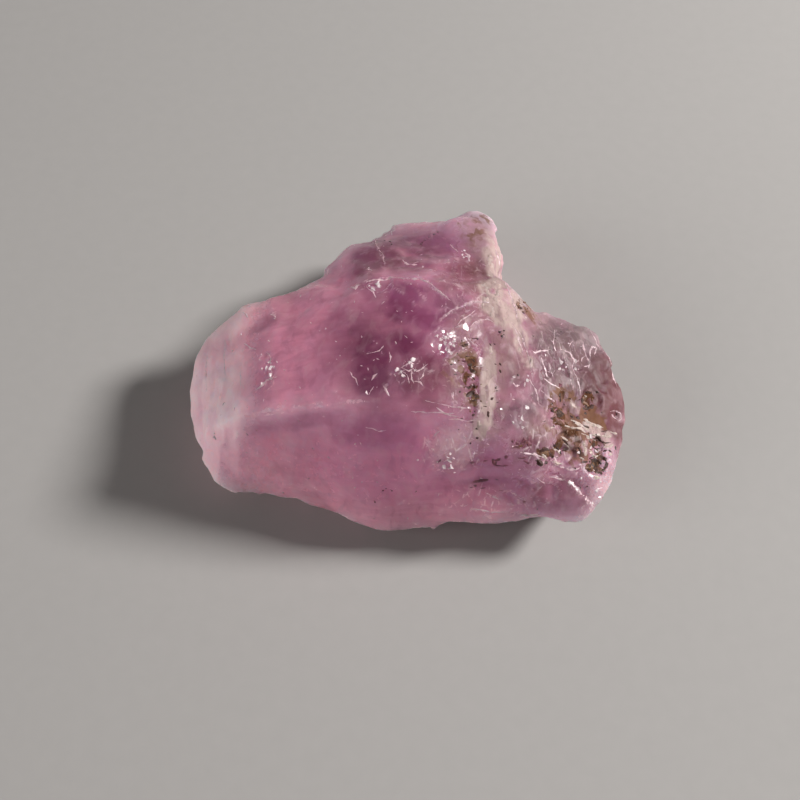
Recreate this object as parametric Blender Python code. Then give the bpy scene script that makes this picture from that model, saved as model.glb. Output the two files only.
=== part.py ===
"""Rough kunzite: one broken chunk of pink spodumene, lying on its widest cleavage face.

The stone is one solid. Its shape is a control net: a rim where the top meets the sides, crests and corners
that stay sharp, a few points that fill out each face, a waist below the rim, and the resting face's edge.
The net is triangulated in plan, once for the top and once for the underside, joined along the rim, rounded
by a Subdivision Surface with creased crests, and broken up by shallow fracture relief.

Run it with: blender --background --python part.py
"""

import bmesh
import bpy
from mathutils import Vector, noise
from mathutils.geometry import delaunay_2d_cdt

# Driving dimensions of the finished stone, in metres.
LENGTH = 0.0460
DEPTH = 0.0375
HEIGHT = 0.0170

# The control net below is in millimetres: X along the stone, Y from its near side to its back, Z up.

# The rim, where the top meets the sides, anticlockwise from the left end.
LEFT_END_RIM = [
    (-22.8, -2.6, 6.0), (-22.6, -5.1, 5.0), (-22.2, -7.8, 4.5),
    (-21.8, -10.6, 4.0), (-21.0, -13.2, 3.5), (-19.2, -14.6, 3.0),
]
NEAR_RIM = [
    (-16.0, -14.3, 3.0), (-13.2, -14.8, 3.0), (-10.2, -15.4, 3.0), (-8.2, -16.4, 3.0),
    (-5.6, -17.4, 3.0), (-3.0, -18.4, 3.0), (0.0, -18.7, 3.0), (2.8, -18.5, 3.0),
    (5.6, -18.1, 3.5), (9.5, -18.2, 4.5), (12.5, -18.0, 5.0), (15.1, -18.5, 5.0), (17.5, -18.3, 5.0),
]
RIGHT_END_RIM = [
    (18.9, -17.2, 5.5), (19.5, -16.0, 6.0), (20.6, -14.3, 6.5), (22.1, -11.5, 7.0),
    (22.7, -9.2, 7.0), (22.7, -5.9, 7.5), (22.4, -3.6, 8.0), (21.8, -1.3, 8.0),
    (20.8, 0.5, 8.0), (20.0, 2.4, 8.0), (18.7, 3.3, 8.0),
]
NOTCH_RIM = [
    (15.8, 3.3, 9.0), (14.4, 4.0, 9.5), (12.9, 5.4, 9.5), (11.7, 7.4, 9.0), (11.0, 9.9, 9.0),
]
KNOB_RIM = [
    (10.3, 13.1, 9.0), (10.2, 16.3, 8.5), (9.3, 18.0, 8.5),
    (7.8, 18.6, 8.5), (6.3, 18.5, 8.0), (5.2, 17.4, 8.0),
]
BACK_RIM = [
    (1.6, 17.9, 7.0), (-2.8, 17.5, 6.5), (-5.6, 14.9, 6.5), (-8.9, 10.8, 7.0), (-10.5, 7.4, 9.0),
    (-12.2, 5.6, 10.5), (-15.1, 4.6, 10.5), (-18.0, 4.2, 9.0), (-20.6, 2.5, 7.5), (-22.3, 0.7, 6.5),
]
RIM = LEFT_END_RIM + NEAR_RIM + RIGHT_END_RIM + NOTCH_RIM + KNOB_RIM + BACK_RIM

# Crests and corners of the top: how sharp each stays, from 0 to 1, and its points from end to end.
LEFT_FRONT_CREST = (0.85, [
    (-18.5, -10.1, 10.0), (-15.1, -10.4, 13.0), (-11.0, -10.7, 14.5), (-6.8, -11.0, 16.0),
])
RIGHT_FRONT_CREST = (0.35, [
    (-6.8, -11.0, 16.0), (-3.3, -11.0, 16.5), (0.4, -10.5, 17.0), (4.2, -11.1, 16.5),
    (8.9, -13.8, 15.0), (10.9, -14.8, 13.0), (15.1, -14.7, 10.0),
])
BACK_CREST = (0.8, [
    (-10.5, 7.4, 9.0), (-6.2, 3.7, 14.0), (-2.0, 4.0, 15.0),
    (2.5, 3.5, 16.0), (6.0, 1.3, 16.5), (11.5, -1.3, 14.5),
])
LEFT_CORNER = (0.6, [
    (-18.0, 4.2, 9.0), (-17.2, -1.4, 11.0), (-17.5, -5.9, 10.5), (-18.5, -10.1, 10.0), (-19.3, -11.8, 6.5),
])
VEIN_RIDGE = (0.6, [
    (7.8, 15.1, 10.0), (10.0, 8.8, 11.5), (10.6, 4.1, 13.0), (11.5, -1.3, 14.5),
    (12.3, -5.4, 14.5), (12.9, -9.1, 14.0), (13.5, -11.6, 12.8), (15.1, -14.7, 10.0),
])
CRESTS = (LEFT_FRONT_CREST, RIGHT_FRONT_CREST, BACK_CREST, LEFT_CORNER, VEIN_RIDGE)
# Points that fill out the faces between the crests.
MAIN_FACE = [
    (-12.5, -3.6, 13.3), (-6.4, -4.3, 15.2), (-0.5, -4.4, 16.3), (3.4, -2.4, 16.8), (7.2, -5.5, 16.3),
]
SHOULDER_FACE = [(-6.0, 11.3, 9.5), (-0.5, 12.7, 9.5), (3.9, 11.9, 10.5), (5.3, 8.1, 12.0)]
FRONT_FACE = [
    (-17.2, -12.0, 7.0), (-10.4, -13.4, 8.5), (-5.4, -15.2, 9.5), (-0.5, -16.5, 10.0),
    (3.3, -16.2, 11.0), (9.3, -16.7, 8.5), (13.7, -17.0, 7.8), (16.7, -16.3, 7.8),
]
LOBE_FACE = [(15.8, -2.3, 11.5), (17.0, -7.9, 11.0), (18.4, -11.7, 9.3)]

# The waist, a line round the stone's sides below which it is undercut, and the edge of its resting face.
LEFT_WAIST = [
    (-20.6, 1.2, 4.2), (-21.9, -2.8, 3.4), (-21.3, -6.8, 2.4), (-20.4, -10.6, 1.8), (-18.2, -12.9, 1.3),
]
NEAR_WAIST = [
    (-14.0, -13.7, 1.2), (-9.8, -14.5, 1.2), (-6.6, -15.9, 1.1), (-2.8, -17.3, 1.2), (1.8, -17.4, 1.2),
    (6.2, -16.6, 1.3), (10.8, -15.8, 2.2), (15.0, -16.2, 2.4),
]
RIGHT_WAIST = [
    (18.0, -15.4, 2.8), (20.0, -12.6, 3.4), (21.6, -9.0, 4.0), (21.7, -5.0, 4.2), (20.8, -1.4, 4.4),
    (19.0, 1.6, 4.6), (16.2, 2.4, 5.2),
]
BACK_WAIST = [
    (13.6, 3.6, 5.4), (11.4, 6.4, 5.2), (10.2, 10.2, 5.0), (9.5, 14.0, 4.6), (8.6, 17.2, 4.2),
    (6.0, 17.2, 4.0), (3.6, 16.6, 3.6), (0.0, 16.8, 3.4), (-3.2, 15.8, 3.2), (-6.2, 12.6, 3.6),
    (-9.0, 9.0, 4.2), (-11.4, 5.6, 5.4), (-14.8, 3.8, 5.6), (-18.2, 3.0, 5.0),
]
WAIST = LEFT_WAIST + NEAR_WAIST + RIGHT_WAIST + BACK_WAIST
FOOT_DEPTH = -0.6
FOOT = [
    (-20.2, -2.8), (-19.6, -8.0), (-17.5, -11.6), (-9.5, -13.0), (-3.2, -15.8), (2.8, -16.0), (9.0, -14.4),
    (15.5, -13.0), (19.2, -8.5), (19.4, -3.5), (16.5, 0.0), (11.6, 3.0), (9.2, 9.0), (7.6, 15.2),
    (1.5, 15.4), (-3.8, 14.0), (-8.2, 8.2), (-12.4, 3.0), (-17.4, 2.0),
]

# How sharp the edges of the sides stay under the subdivision, from 0 to 1.
RIM_CREASE = 0.4
WAIST_CREASE = 0.25
FOOT_CREASE = 0.9
SUBDIVISIONS = 2

# Fracture relief: broad conchoidal hollows with ridges between them, and finer steps along the crystal's
# long axis, in millimetres. A hollow's floor starts this share of its width in from the ridge.
SCALLOP_SIZE = 6.0
SCALLOP_HEIGHT = 0.45
SCALLOP_FLOOR = 0.5
STEP_SIZE = (5.5, 1.8, 1.8)
STEP_HEIGHT = 0.22
STEP_OCTAVES = 3
NOISE_ORIGIN = Vector((31.0, 7.0, 53.0))

# Two points of the net nearer than this in plan count as one, in millimetres.
SAME_POINT = 1e-6
# Edges that turn by more than this are shaded sharp, in radians.
SHARP_ANGLE = 0.6

KUNZITE_PINK = (0.36, 0.14, 0.20, 1.0)
KUNZITE_IOR = 1.66


def clear_scene():
    for obj in list(bpy.data.objects):
        bpy.data.objects.remove(obj, do_unlink=True)


def kunzite_material():
    """Clear pink spodumene with a worn, slightly frosted surface."""
    material = bpy.data.materials.new("kunzite")
    material.use_nodes = True
    shader = material.node_tree.nodes["Principled BSDF"]
    shader.inputs["Base Color"].default_value = KUNZITE_PINK
    shader.inputs["Roughness"].default_value = 0.25
    shader.inputs["Metallic"].default_value = 0.0
    shader.inputs["IOR"].default_value = KUNZITE_IOR
    shader.inputs["Transmission Weight"].default_value = 0.5
    return material


class Net:
    """The points of the control net, each kept once, and the edges that are creased."""

    def __init__(self):
        self.points = []
        self.creases = {}

    def add(self, point):
        if point not in self.points:
            self.points.append(point)
        return self.points.index(point)

    def line(self, points, crease, closed=False):
        """Adds points joined in order by creased edges, and returns those edges."""
        ends = [self.add(p) for p in points]
        pairs = list(zip(ends, ends[1:] + ends[:1] if closed else ends[1:]))
        for pair in pairs:
            self.creases[frozenset(pair)] = crease
        return pairs


def sheet(net, rim, edges, members):
    """Triangles of one side of the stone: the net's members, seen in plan, inside the rim."""
    plan = [Vector(net.points[i][:2]) for i in members]
    place = {member: k for k, member in enumerate(members)}
    lines = [(place[a], place[b]) for a, b in edges]
    outline = [place[i] for i in rim]
    inside_outline = 1
    points, _, faces, sources, _, _ = delaunay_2d_cdt(plan, lines, [outline], inside_outline, SAME_POINT)
    if len(points) != len(plan):
        raise ValueError("two lines of the net cross, or two of its points meet, in plan")
    return [[members[sources[corner][0]] for corner in face] for face in faces]


def control_mesh():
    """The closed control net as a mesh in millimetres, with its creases."""
    net = Net()
    rim_edges = net.line(RIM, RIM_CREASE, closed=True)
    rim = [a for a, _ in rim_edges]
    crests = [net.line(points, crease) for crease, points in CRESTS]
    for point in MAIN_FACE + SHOULDER_FACE + FRONT_FACE + LOBE_FACE:
        net.add(point)
    top = list(range(len(net.points)))
    foot_edges = net.line([(x, y, FOOT_DEPTH) for x, y in FOOT], FOOT_CREASE, closed=True)
    waist_edges = net.line(WAIST, WAIST_CREASE, closed=True)
    underside = rim + [a for a, _ in waist_edges + foot_edges]

    top_faces = sheet(net, rim, rim_edges + [e for crest in crests for e in crest], top)
    under_faces = sheet(net, rim, rim_edges + waist_edges + foot_edges, underside)

    mesh = bpy.data.meshes.new("kunzite_crystal")
    turned = [face[::-1] for face in under_faces]
    mesh.from_pydata([Vector(p) for p in net.points], [], top_faces + turned)
    crease = mesh.attributes.new("crease_edge", "FLOAT", "EDGE")
    for edge in mesh.edges:
        crease.data[edge.index].value = net.creases.get(frozenset(edge.vertices), 0.0)
    return mesh


def rounded(mesh):
    """The control net after its Subdivision Surface, as a new mesh."""
    obj = bpy.data.objects.new("kunzite_net", mesh)
    bpy.context.scene.collection.objects.link(obj)
    subdivision = obj.modifiers.new("round faces", "SUBSURF")
    subdivision.levels = SUBDIVISIONS
    subdivision.render_levels = SUBDIVISIONS
    graph = bpy.context.evaluated_depsgraph_get()
    smooth = bpy.data.meshes.new_from_object(obj.evaluated_get(graph))
    bpy.data.objects.remove(obj, do_unlink=True)
    return smooth


def relief(point):
    """How far the broken surface stands proud of the smooth one at a point, in millimetres."""
    warped = point + NOISE_ORIGIN
    nearest, second = noise.voronoi(warped / SCALLOP_SIZE)[0][:2]
    hollow = min(second - nearest, SCALLOP_FLOOR) / SCALLOP_FLOOR
    along = Vector(w / s for w, s in zip(warped, STEP_SIZE))
    steps = noise.fractal(along, 1.0, 2.0, STEP_OCTAVES)
    return SCALLOP_HEIGHT * (0.5 - hollow) + STEP_HEIGHT * steps


def break_surface(mesh):
    """Moves each point along its normal by the relief, and lays the foot flat at height 0."""
    moved = [v.co + v.normal * relief(v.co) for v in mesh.vertices]
    for vertex, place in zip(mesh.vertices, moved):
        vertex.co = (place.x, place.y, max(place.z, 0.0))


def fit_to_size(mesh):
    """Scales the mesh to the driving dimensions, with the middle of its bounding box's base at the origin."""
    low = Vector(min(v.co[k] for v in mesh.vertices) for k in range(3))
    high = Vector(max(v.co[k] for v in mesh.vertices) for k in range(3))
    base = Vector(((low.x + high.x) / 2, (low.y + high.y) / 2, low.z))
    size = (LENGTH, DEPTH, HEIGHT)
    scale = Vector(size[k] / (high[k] - low[k]) for k in range(3))
    for vertex in mesh.vertices:
        vertex.co = (vertex.co - base) * scale


def triangulated(mesh):
    work = bmesh.new()
    work.from_mesh(mesh)
    bmesh.ops.triangulate(work, faces=work.faces)
    work.to_mesh(mesh)
    work.free()


def kunzite_crystal():
    """The whole stone, as one object standing on its resting face."""
    mesh = rounded(control_mesh())
    mesh.name = "kunzite_crystal"
    break_surface(mesh)
    fit_to_size(mesh)
    triangulated(mesh)
    mesh.materials.append(kunzite_material())
    mesh.shade_smooth()
    mesh.set_sharp_from_angle(angle=SHARP_ANGLE)
    stone = bpy.data.objects.new("kunzite_crystal", mesh)
    bpy.context.scene.collection.objects.link(stone)
    return stone


def main():
    clear_scene()
    kunzite_crystal()


main()
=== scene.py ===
import itertools
import math

import bmesh
import bpy
import numpy as np
from bpy.props import FloatProperty, FloatVectorProperty, IntProperty, PointerProperty
from mathutils import Matrix, Vector
from mathutils.bvhtree import BVHTree


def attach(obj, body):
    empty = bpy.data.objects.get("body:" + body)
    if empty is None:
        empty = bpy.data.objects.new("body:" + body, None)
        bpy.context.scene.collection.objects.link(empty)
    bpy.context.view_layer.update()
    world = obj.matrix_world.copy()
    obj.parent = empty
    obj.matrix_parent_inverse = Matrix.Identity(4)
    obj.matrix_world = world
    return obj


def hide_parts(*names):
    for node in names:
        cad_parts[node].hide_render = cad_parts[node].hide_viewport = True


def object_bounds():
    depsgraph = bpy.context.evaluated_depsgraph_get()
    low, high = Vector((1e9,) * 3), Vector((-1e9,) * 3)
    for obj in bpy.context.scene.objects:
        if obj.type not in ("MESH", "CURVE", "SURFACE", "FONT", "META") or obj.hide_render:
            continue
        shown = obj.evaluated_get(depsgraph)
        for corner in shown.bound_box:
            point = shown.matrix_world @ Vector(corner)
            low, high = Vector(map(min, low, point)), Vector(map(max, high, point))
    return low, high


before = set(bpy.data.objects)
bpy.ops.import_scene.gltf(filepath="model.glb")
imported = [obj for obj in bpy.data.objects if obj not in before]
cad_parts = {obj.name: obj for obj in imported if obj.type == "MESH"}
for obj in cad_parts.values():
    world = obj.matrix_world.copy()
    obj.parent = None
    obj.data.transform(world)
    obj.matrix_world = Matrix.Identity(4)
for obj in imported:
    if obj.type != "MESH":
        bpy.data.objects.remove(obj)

# A rough kunzite stone. Shapes are worked out in millimetres and stored in metres.
# Marks on the upper faces are laid out on a drawing plane that faces forward and sixty
# degrees up: u runs along the stone's length and v runs up the plane to the back.

bl_info = {
    "name": "Rough Kunzite",
    "version": (1, 0, 0),
    "blender": (4, 5, 0),
    "location": "3D View > Sidebar > Kunzite",
    "description": "Builds a rough kunzite crystal with its veins, glints and iron clay",
    "category": "Object",
}

MM = 0.001
BODY = "root"
SOLID = "kunzite_crystal"
SKIN = "kunzite_skin"
BOX_AT_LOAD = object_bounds()
LOW_CORNER = np.array(BOX_AT_LOAD[0]) / MM
HIGH_CORNER = np.array(BOX_AT_LOAD[1]) / MM

# The drawing plane: its angle, the way up it and the way out of it.
PLANE_FACING = math.radians(60.0)
UP_PLANE = np.array((0.0, math.sin(PLANE_FACING), math.cos(PLANE_FACING)))
OUT_OF_PLANE = np.array((0.0, -math.cos(PLANE_FACING), math.sin(PLANE_FACING)))

# The way that small breaks and glassy chips lean to catch the lamp, and how strongly.
GLINT_LEAN = np.array((0.484, -0.193, 0.854))
CHIP_LEANING = 2.6

# Seeds of the random draws.
CARVING_SEED = 27
STROKE_SEED = 11
SPECK_SEED = 5

# Large odd numbers that mix a cell's whole numbers into one.
CELL_MIX = (374761393, 668265263, 1442695041)
SEED_MIX = 144665963
BIT_MIX = 1274126177

# Corners lower than this, in millimetres, belong to the flat resting face.
RESTING_HEIGHT = 0.06

# How many flat breaks lie on the sides, the back and the undercut.
HIDDEN_BREAKS = 150

# Longer than the stone, so that a search for the nearest corner stays on the upper faces.
FAR = 50.0

# How far above the drawing plane a ray starts that looks for the outside.
RAY_START = 60.0

# Strokes: spacing of their rings and how far their edges sink in, and a crack's height as
# a share of its half width and its depth. Lengths are in millimetres.
RING_SPACING = 0.16
EDGE_SINK = 0.015
CRACK_RISE = 0.4
CRACK_DIVE = 0.1

# How wide a chip and a fleck are for their length, a full turn for random spins, and how
# fine the noise is that roughens them.
CHIP_WIDTH = 0.72
FLECK_WIDTH = 0.26
SPIN = 6.28
ROUGHEN_SCALE = 5200.0

# How strongly each finish bends light, how much the crystal shines, and the painted shade on its
# breaks and grooves.
CRYSTAL_IOR = 1.66
FROST_IOR = 1.6
VEIN_IOR = 1.55
CLAY_IOR = 1.5
CRYSTAL_SHINE = 0.12
BREAK_SHADE = (0.5, 0.44, 0.48, 1.0)
GROOVE_SHADE = (0.72, 0.6, 0.68, 1.0)

# The stage in millimetres, and the place that the lamps aim at in metres.
LENS = 50.0
SENSOR_WIDTH = 36.0
LOOK_AT = (-0.5, -6.3, 8.0)
FLOOR_GAP = 0.05
LAMPS_AIM_AT = (0.0, 0.0, 0.005)

# Where each tint lies: u and v of its middle, half sizes, turn in degrees, strength.
TINTS = {
    "deep": (
        (-0.6, 4.2, 8.6, 8.4, 0, 0.56), (-3.2, 2.0, 2.6, 4.4, 0, 1.0),
        (-0.2, 3.0, 4.8, 3.8, 0, 0.8), (0.8, 8.0, 6.4, 3.0, -18, 0.95),
        (-2.2, -3.9, 4.6, 2.4, 0, 0.6), (-5.5, -4.0, 2.0, 1.8, 0, 0.5),
        # The thin oval at -9.6, -3.4 is painted shade along the lower side of the long ridge.
        (-5.0, 6.8, 3.6, 2.4, 0, 0.2), (-9.6, -3.4, 7.0, 0.9, 9, 0.45),
        (-2.2, -2.6, 1.5, 2.4, 10, 0.55), (-6.6, -4.0, 0.9, 1.8, 0, 0.45),
        (-14.6, 6.6, 2.4, 0.8, 30, 0.4),
    ),
    "violet": (
        (-2.0, -7.6, 9.5, 4.5, 0, 0.8), (15.2, -8.0, 2.3, 1.2, -10, 0.5),
        (16.0, -11.2, 6.0, 2.0, 0, 0.6),
    ),
    "grey": (
        (-3.6, 14.0, 2.6, 3.8, -20, 1.0), (1.2, 14.8, 6.5, 3.4, 8, 0.95),
        (5.6, 14.0, 3.0, 3.0, 8, 0.5), (11.2, -5.6, 2.0, 0.8, 5, 1.0),
        (8.4, -7.4, 3.4, 0.7, 4, 0.4), (8.0, -9.4, 2.6, 0.6, 4, 0.45),
        (3.4, 12.6, 2.4, 1.6, 0, 0.35), (14.5, 1.7, 0.5, 2.0, 18, 0.7),
        (15.8, 2.1, 0.6, 2.4, 16, 0.8), (17.5, 3.8, 0.4, 1.8, 14, 0.45),
        (18.2, 1.0, 0.5, 1.6, 20, 0.4),
    ),
    "ash": (
        (17.0, 4.8, 4.6, 3.4, -20, 1.0), (15.8, 1.4, 2.8, 3.8, 15, 0.9),
        (12.4, 5.0, 1.6, 3.4, 15, 0.5), (8.0, 17.6, 2.6, 2.8, 0, 0.9),
    ),
    "rose": (
        (20.8, -0.4, 3.6, 4.6, 10, 1.0), (20.4, -3.0, 1.8, 2.6, 0, 0.9),
        (15.8, -10.9, 4.6, 2.4, 0, 0.6), (6.8, 11.6, 3.0, 2.6, 0, 0.6),
        (22.2, -4.4, 1.8, 7.5, 8, 1.0), (2.0, 0.0, 2.6, 3.4, 0, 0.4),
        (4.6, 10.4, 2.2, 1.4, -15, 0.45),
    ),
    "lilac": (
        (12.6, -1.0, 9.5, 10.5, 10, 0.85), (6.0, 8.6, 4.2, 3.0, 0, 0.55),
        (13.6, 2.4, 3.0, 3.2, 20, 0.6), (13.6, -4.6, 4.0, 2.6, 0, 0.8),
        (9.0, 10.2, 1.8, 5.0, 8, 0.75), (8.4, 2.2, 2.4, 5.2, 0, 0.7),
    ),
    "haze": (
        (9.4, 6.6, 2.4, 4.4, 15, 0.8), (8.8, 1.4, 1.6, 4.8, 0, 0.7), (7.2, -4.6, 2.2, 1.8, 0, 0.55),
        (10.8, 3.0, 1.5, 3.4, 10, 0.55), (8.4, 12.6, 2.4, 4.2, 5, 0.6),
        (17.2, 1.2, 3.0, 3.4, 0, 0.45), (8.4, 15.4, 2.2, 2.8, 0, 0.9),
        (5.6, 14.8, 3.4, 3.0, 0, 0.45), (6.6, 5.6, 2.8, 2.4, 0, 0.75), (5.4, 0.6, 2.0, 4.0, 0, 0.5),
        (13.2, 9.0, 2.4, 3.6, 25, 0.75), (13.2, -4.2, 2.0, 2.0, 0, 0.5),
        (5.0, -6.0, 2.6, 2.2, 0, 0.4),
    ),
    "pale": (
        (4.6, -5.9, 2.6, 2.6, 0, 0.38), (19.4, -10.6, 1.1, 2.0, -40, 0.55),
        (-20.6, -1.0, 0.6, 4.0, 3, 0.8), (-18.6, -1.6, 0.5, 3.0, 0, 0.8),
        # The wide faint oval at -8.0, -8.6 is painted light that lifts the lower front faces turned
        # away from the lamp.
        (-8.0, -8.6, 12.0, 4.0, -5, 0.09), (-18.4, 7.4, 4.0, 2.6, 30, 0.4),
        (-17.2, -2.0, 2.6, 6.0, 0, 0.3), (-15.6, -8.2, 3.4, 3.4, 0, 0.22),
    ),
    "cream": (
        (10.6, 12.2, 2.1, 5.8, 7, 1.0), (9.9, 8.2, 2.5, 3.6, 20, 1.0),
        (11.6, 4.4, 1.0, 3.4, 14, 0.8), (8.1, 2.0, 0.9, 3.4, 0, 0.75),
        (7.9, -0.9, 1.0, 3.2, -4, 0.95), (7.3, -3.8, 1.0, 1.6, -20, 0.85),
        (17.1, -2.2, 1.0, 1.1, 0, 0.7), (18.8, -4.4, 1.8, 0.7, -22, 0.9),
        (19.8, -5.0, 1.4, 0.6, -8, 0.8), (18.0, -6.2, 0.5, 1.0, 12, 0.9),
        (16.3, -6.0, 0.8, 0.7, 0, 0.7), (20.6, -6.0, 0.7, 0.5, 0, 0.8),
        (16.8, -5.2, 0.9, 0.5, -10, 0.6),
    ),
    "tan": (
        (8.0, 17.6, 2.6, 2.8, 0, 0.4), (17.4, -4.7, 3.6, 3.9, 12, 0.85),
        (15.8, -1.8, 2.4, 2.0, 0, 0.7), (6.2, 0.9, 1.9, 4.2, 0, 0.45),
        (4.6, 1.2, 1.4, 2.2, 0, 0.35), (13.2, -4.4, 1.8, 1.4, 0, 0.35),
        (12.4, 8.6, 1.4, 2.8, 20, 0.5),
    ),
    "rust": (
        (6.3, -0.1, 1.0, 2.6, 0, 0.9), (6.0, -0.5, 0.8, 0.9, 0, 0.75),
        (6.4, 2.4, 0.8, 0.6, 0, 0.65), (5.9, 4.0, 0.7, 0.5, 0, 0.5), (5.1, 2.5, 0.9, 0.6, 0, 0.42),
        (9.2, 5.4, 0.6, 0.5, 0, 0.7), (11.2, -5.7, 1.2, 0.5, 5, 0.5),
        (15.2, -2.7, 1.3, 1.7, 0, 1.6), (15.6, -1.2, 0.5, 0.8, 0, 1.1),
        (16.1, -1.6, 0.5, 0.6, 0, 0.8), (18.6, -1.5, 0.8, 1.1, 0, 1.3),
        (16.4, -4.7, 1.2, 0.6, -10, 0.45), (18.9, -5.3, 1.0, 0.5, -15, 0.5),
        (19.3, -6.0, 1.0, 0.7, 0, 1.3), (19.4, -7.7, 0.9, 1.2, 0, 1.4),
        (13.7, -6.5, 1.2, 0.6, -10, 1.3), (14.9, -5.7, 0.6, 0.8, 40, 1.0),
        (18.4, -8.2, 0.6, 0.5, 0, 1.0), (13.2, -7.4, 0.7, 0.4, 0, 1.0),
        (12.0, 8.2, 0.7, 1.2, 20, 0.45),
    ),
}

# Where thin white webs, open grain, flecks and glints crowd, in the same columns.
CROWDS = {
    "web": (
        (15.4, 1.6, 5.0, 5.4, -10, 0.45), (6.2, 1.4, 2.6, 6.4, 0, 0.6),
        (1.2, 0.9, 2.4, 2.0, 0, 0.4), (5.0, -6.0, 3.6, 2.2, 0, 0.9), (15.4, -6.0, 5.4, 2.8, 0, 0.8),
        (7.4, 10.0, 4.6, 4.8, 0, 0.55), (9.0, -11.4, 6.0, 1.8, 0, 0.6),
        (19.0, -10.8, 1.6, 2.2, -30, 1.0),
    ),
    "glint": (
        (4.0, 4.2, 1.1, 1.0, 30, 1.0), (0.9, 1.2, 2.0, 1.2, 0, 0.08), (3.9, -7.3, 1.0, 0.9, 0, 0.6),
        (11.0, 0.2, 0.9, 0.7, 0, 0.16), (11.6, -3.4, 1.8, 1.3, 0, 0.1),
        (16.4, 2.6, 3.6, 2.6, 0, 0.03), (17.4, -6.6, 2.6, 1.6, 0, 0.05),
        (15.4, -9.2, 2.6, 0.8, -10, 0.05), (18.8, -10.8, 1.0, 1.6, -35, 0.08),
        (-3.2, 10.2, 1.2, 0.7, 0, 0.5), (-13.6, 1.6, 0.7, 2.0, 0, 0.22),
        (-1.6, 1.0, 2.4, 3.0, 0, 0.03), (6.2, 14.6, 1.2, 0.9, -30, 0.25),
        (-19.2, -4.9, 0.6, 0.7, 0, 0.35),
    ),
    "dull": (
        (16.4, 0.5, 8.0, 9.5, 0, 1.0), (8.6, 12.0, 3.0, 9.0, 0, 0.95),
    ),
    "clear": (
        (-2.6, 2.6, 5.0, 6.4, 0, 1.0), (17.4, 2.6, 5.0, 5.0, 0, 1.0),
        (18.0, -10.0, 4.0, 3.0, 0, 0.8),
    ),
    "shard": (
        (16.6, 1.6, 6.0, 6.0, -10, 1.0), (16.6, -5.2, 6.2, 3.8, 0, 1.0),
        (6.2, 1.2, 2.8, 6.4, 0, 0.7), (11.4, -3.4, 2.4, 1.8, 0, 0.5), (4.4, -6.2, 3.4, 2.4, 0, 0.7),
        (3.8, 4.0, 2.0, 1.8, 0, 0.9), (0.9, 0.9, 2.4, 1.8, 0, 0.6), (14.0, -11.0, 6.0, 2.4, 0, 0.3),
        (10.0, 9.0, 2.6, 5.0, 10, 0.5), (-19.6, -1.0, 2.6, 8.0, 0, 0.3),
    ),
    "fleck": (
        (-3.0, 0.0, 19.0, 15.0, 0, 0.35), (7.0, 2.0, 4.0, 9.0, 0, 0.9),
        (15.0, -7.0, 6.0, 4.0, 0, 0.9), (16.0, 2.0, 6.0, 6.0, 0, 0.9),
        (-2.6, 1.6, 3.4, 4.0, 0, 1.0), (-13.6, 2.0, 2.0, 5.0, 0, 0.8),
    ),
}
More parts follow.
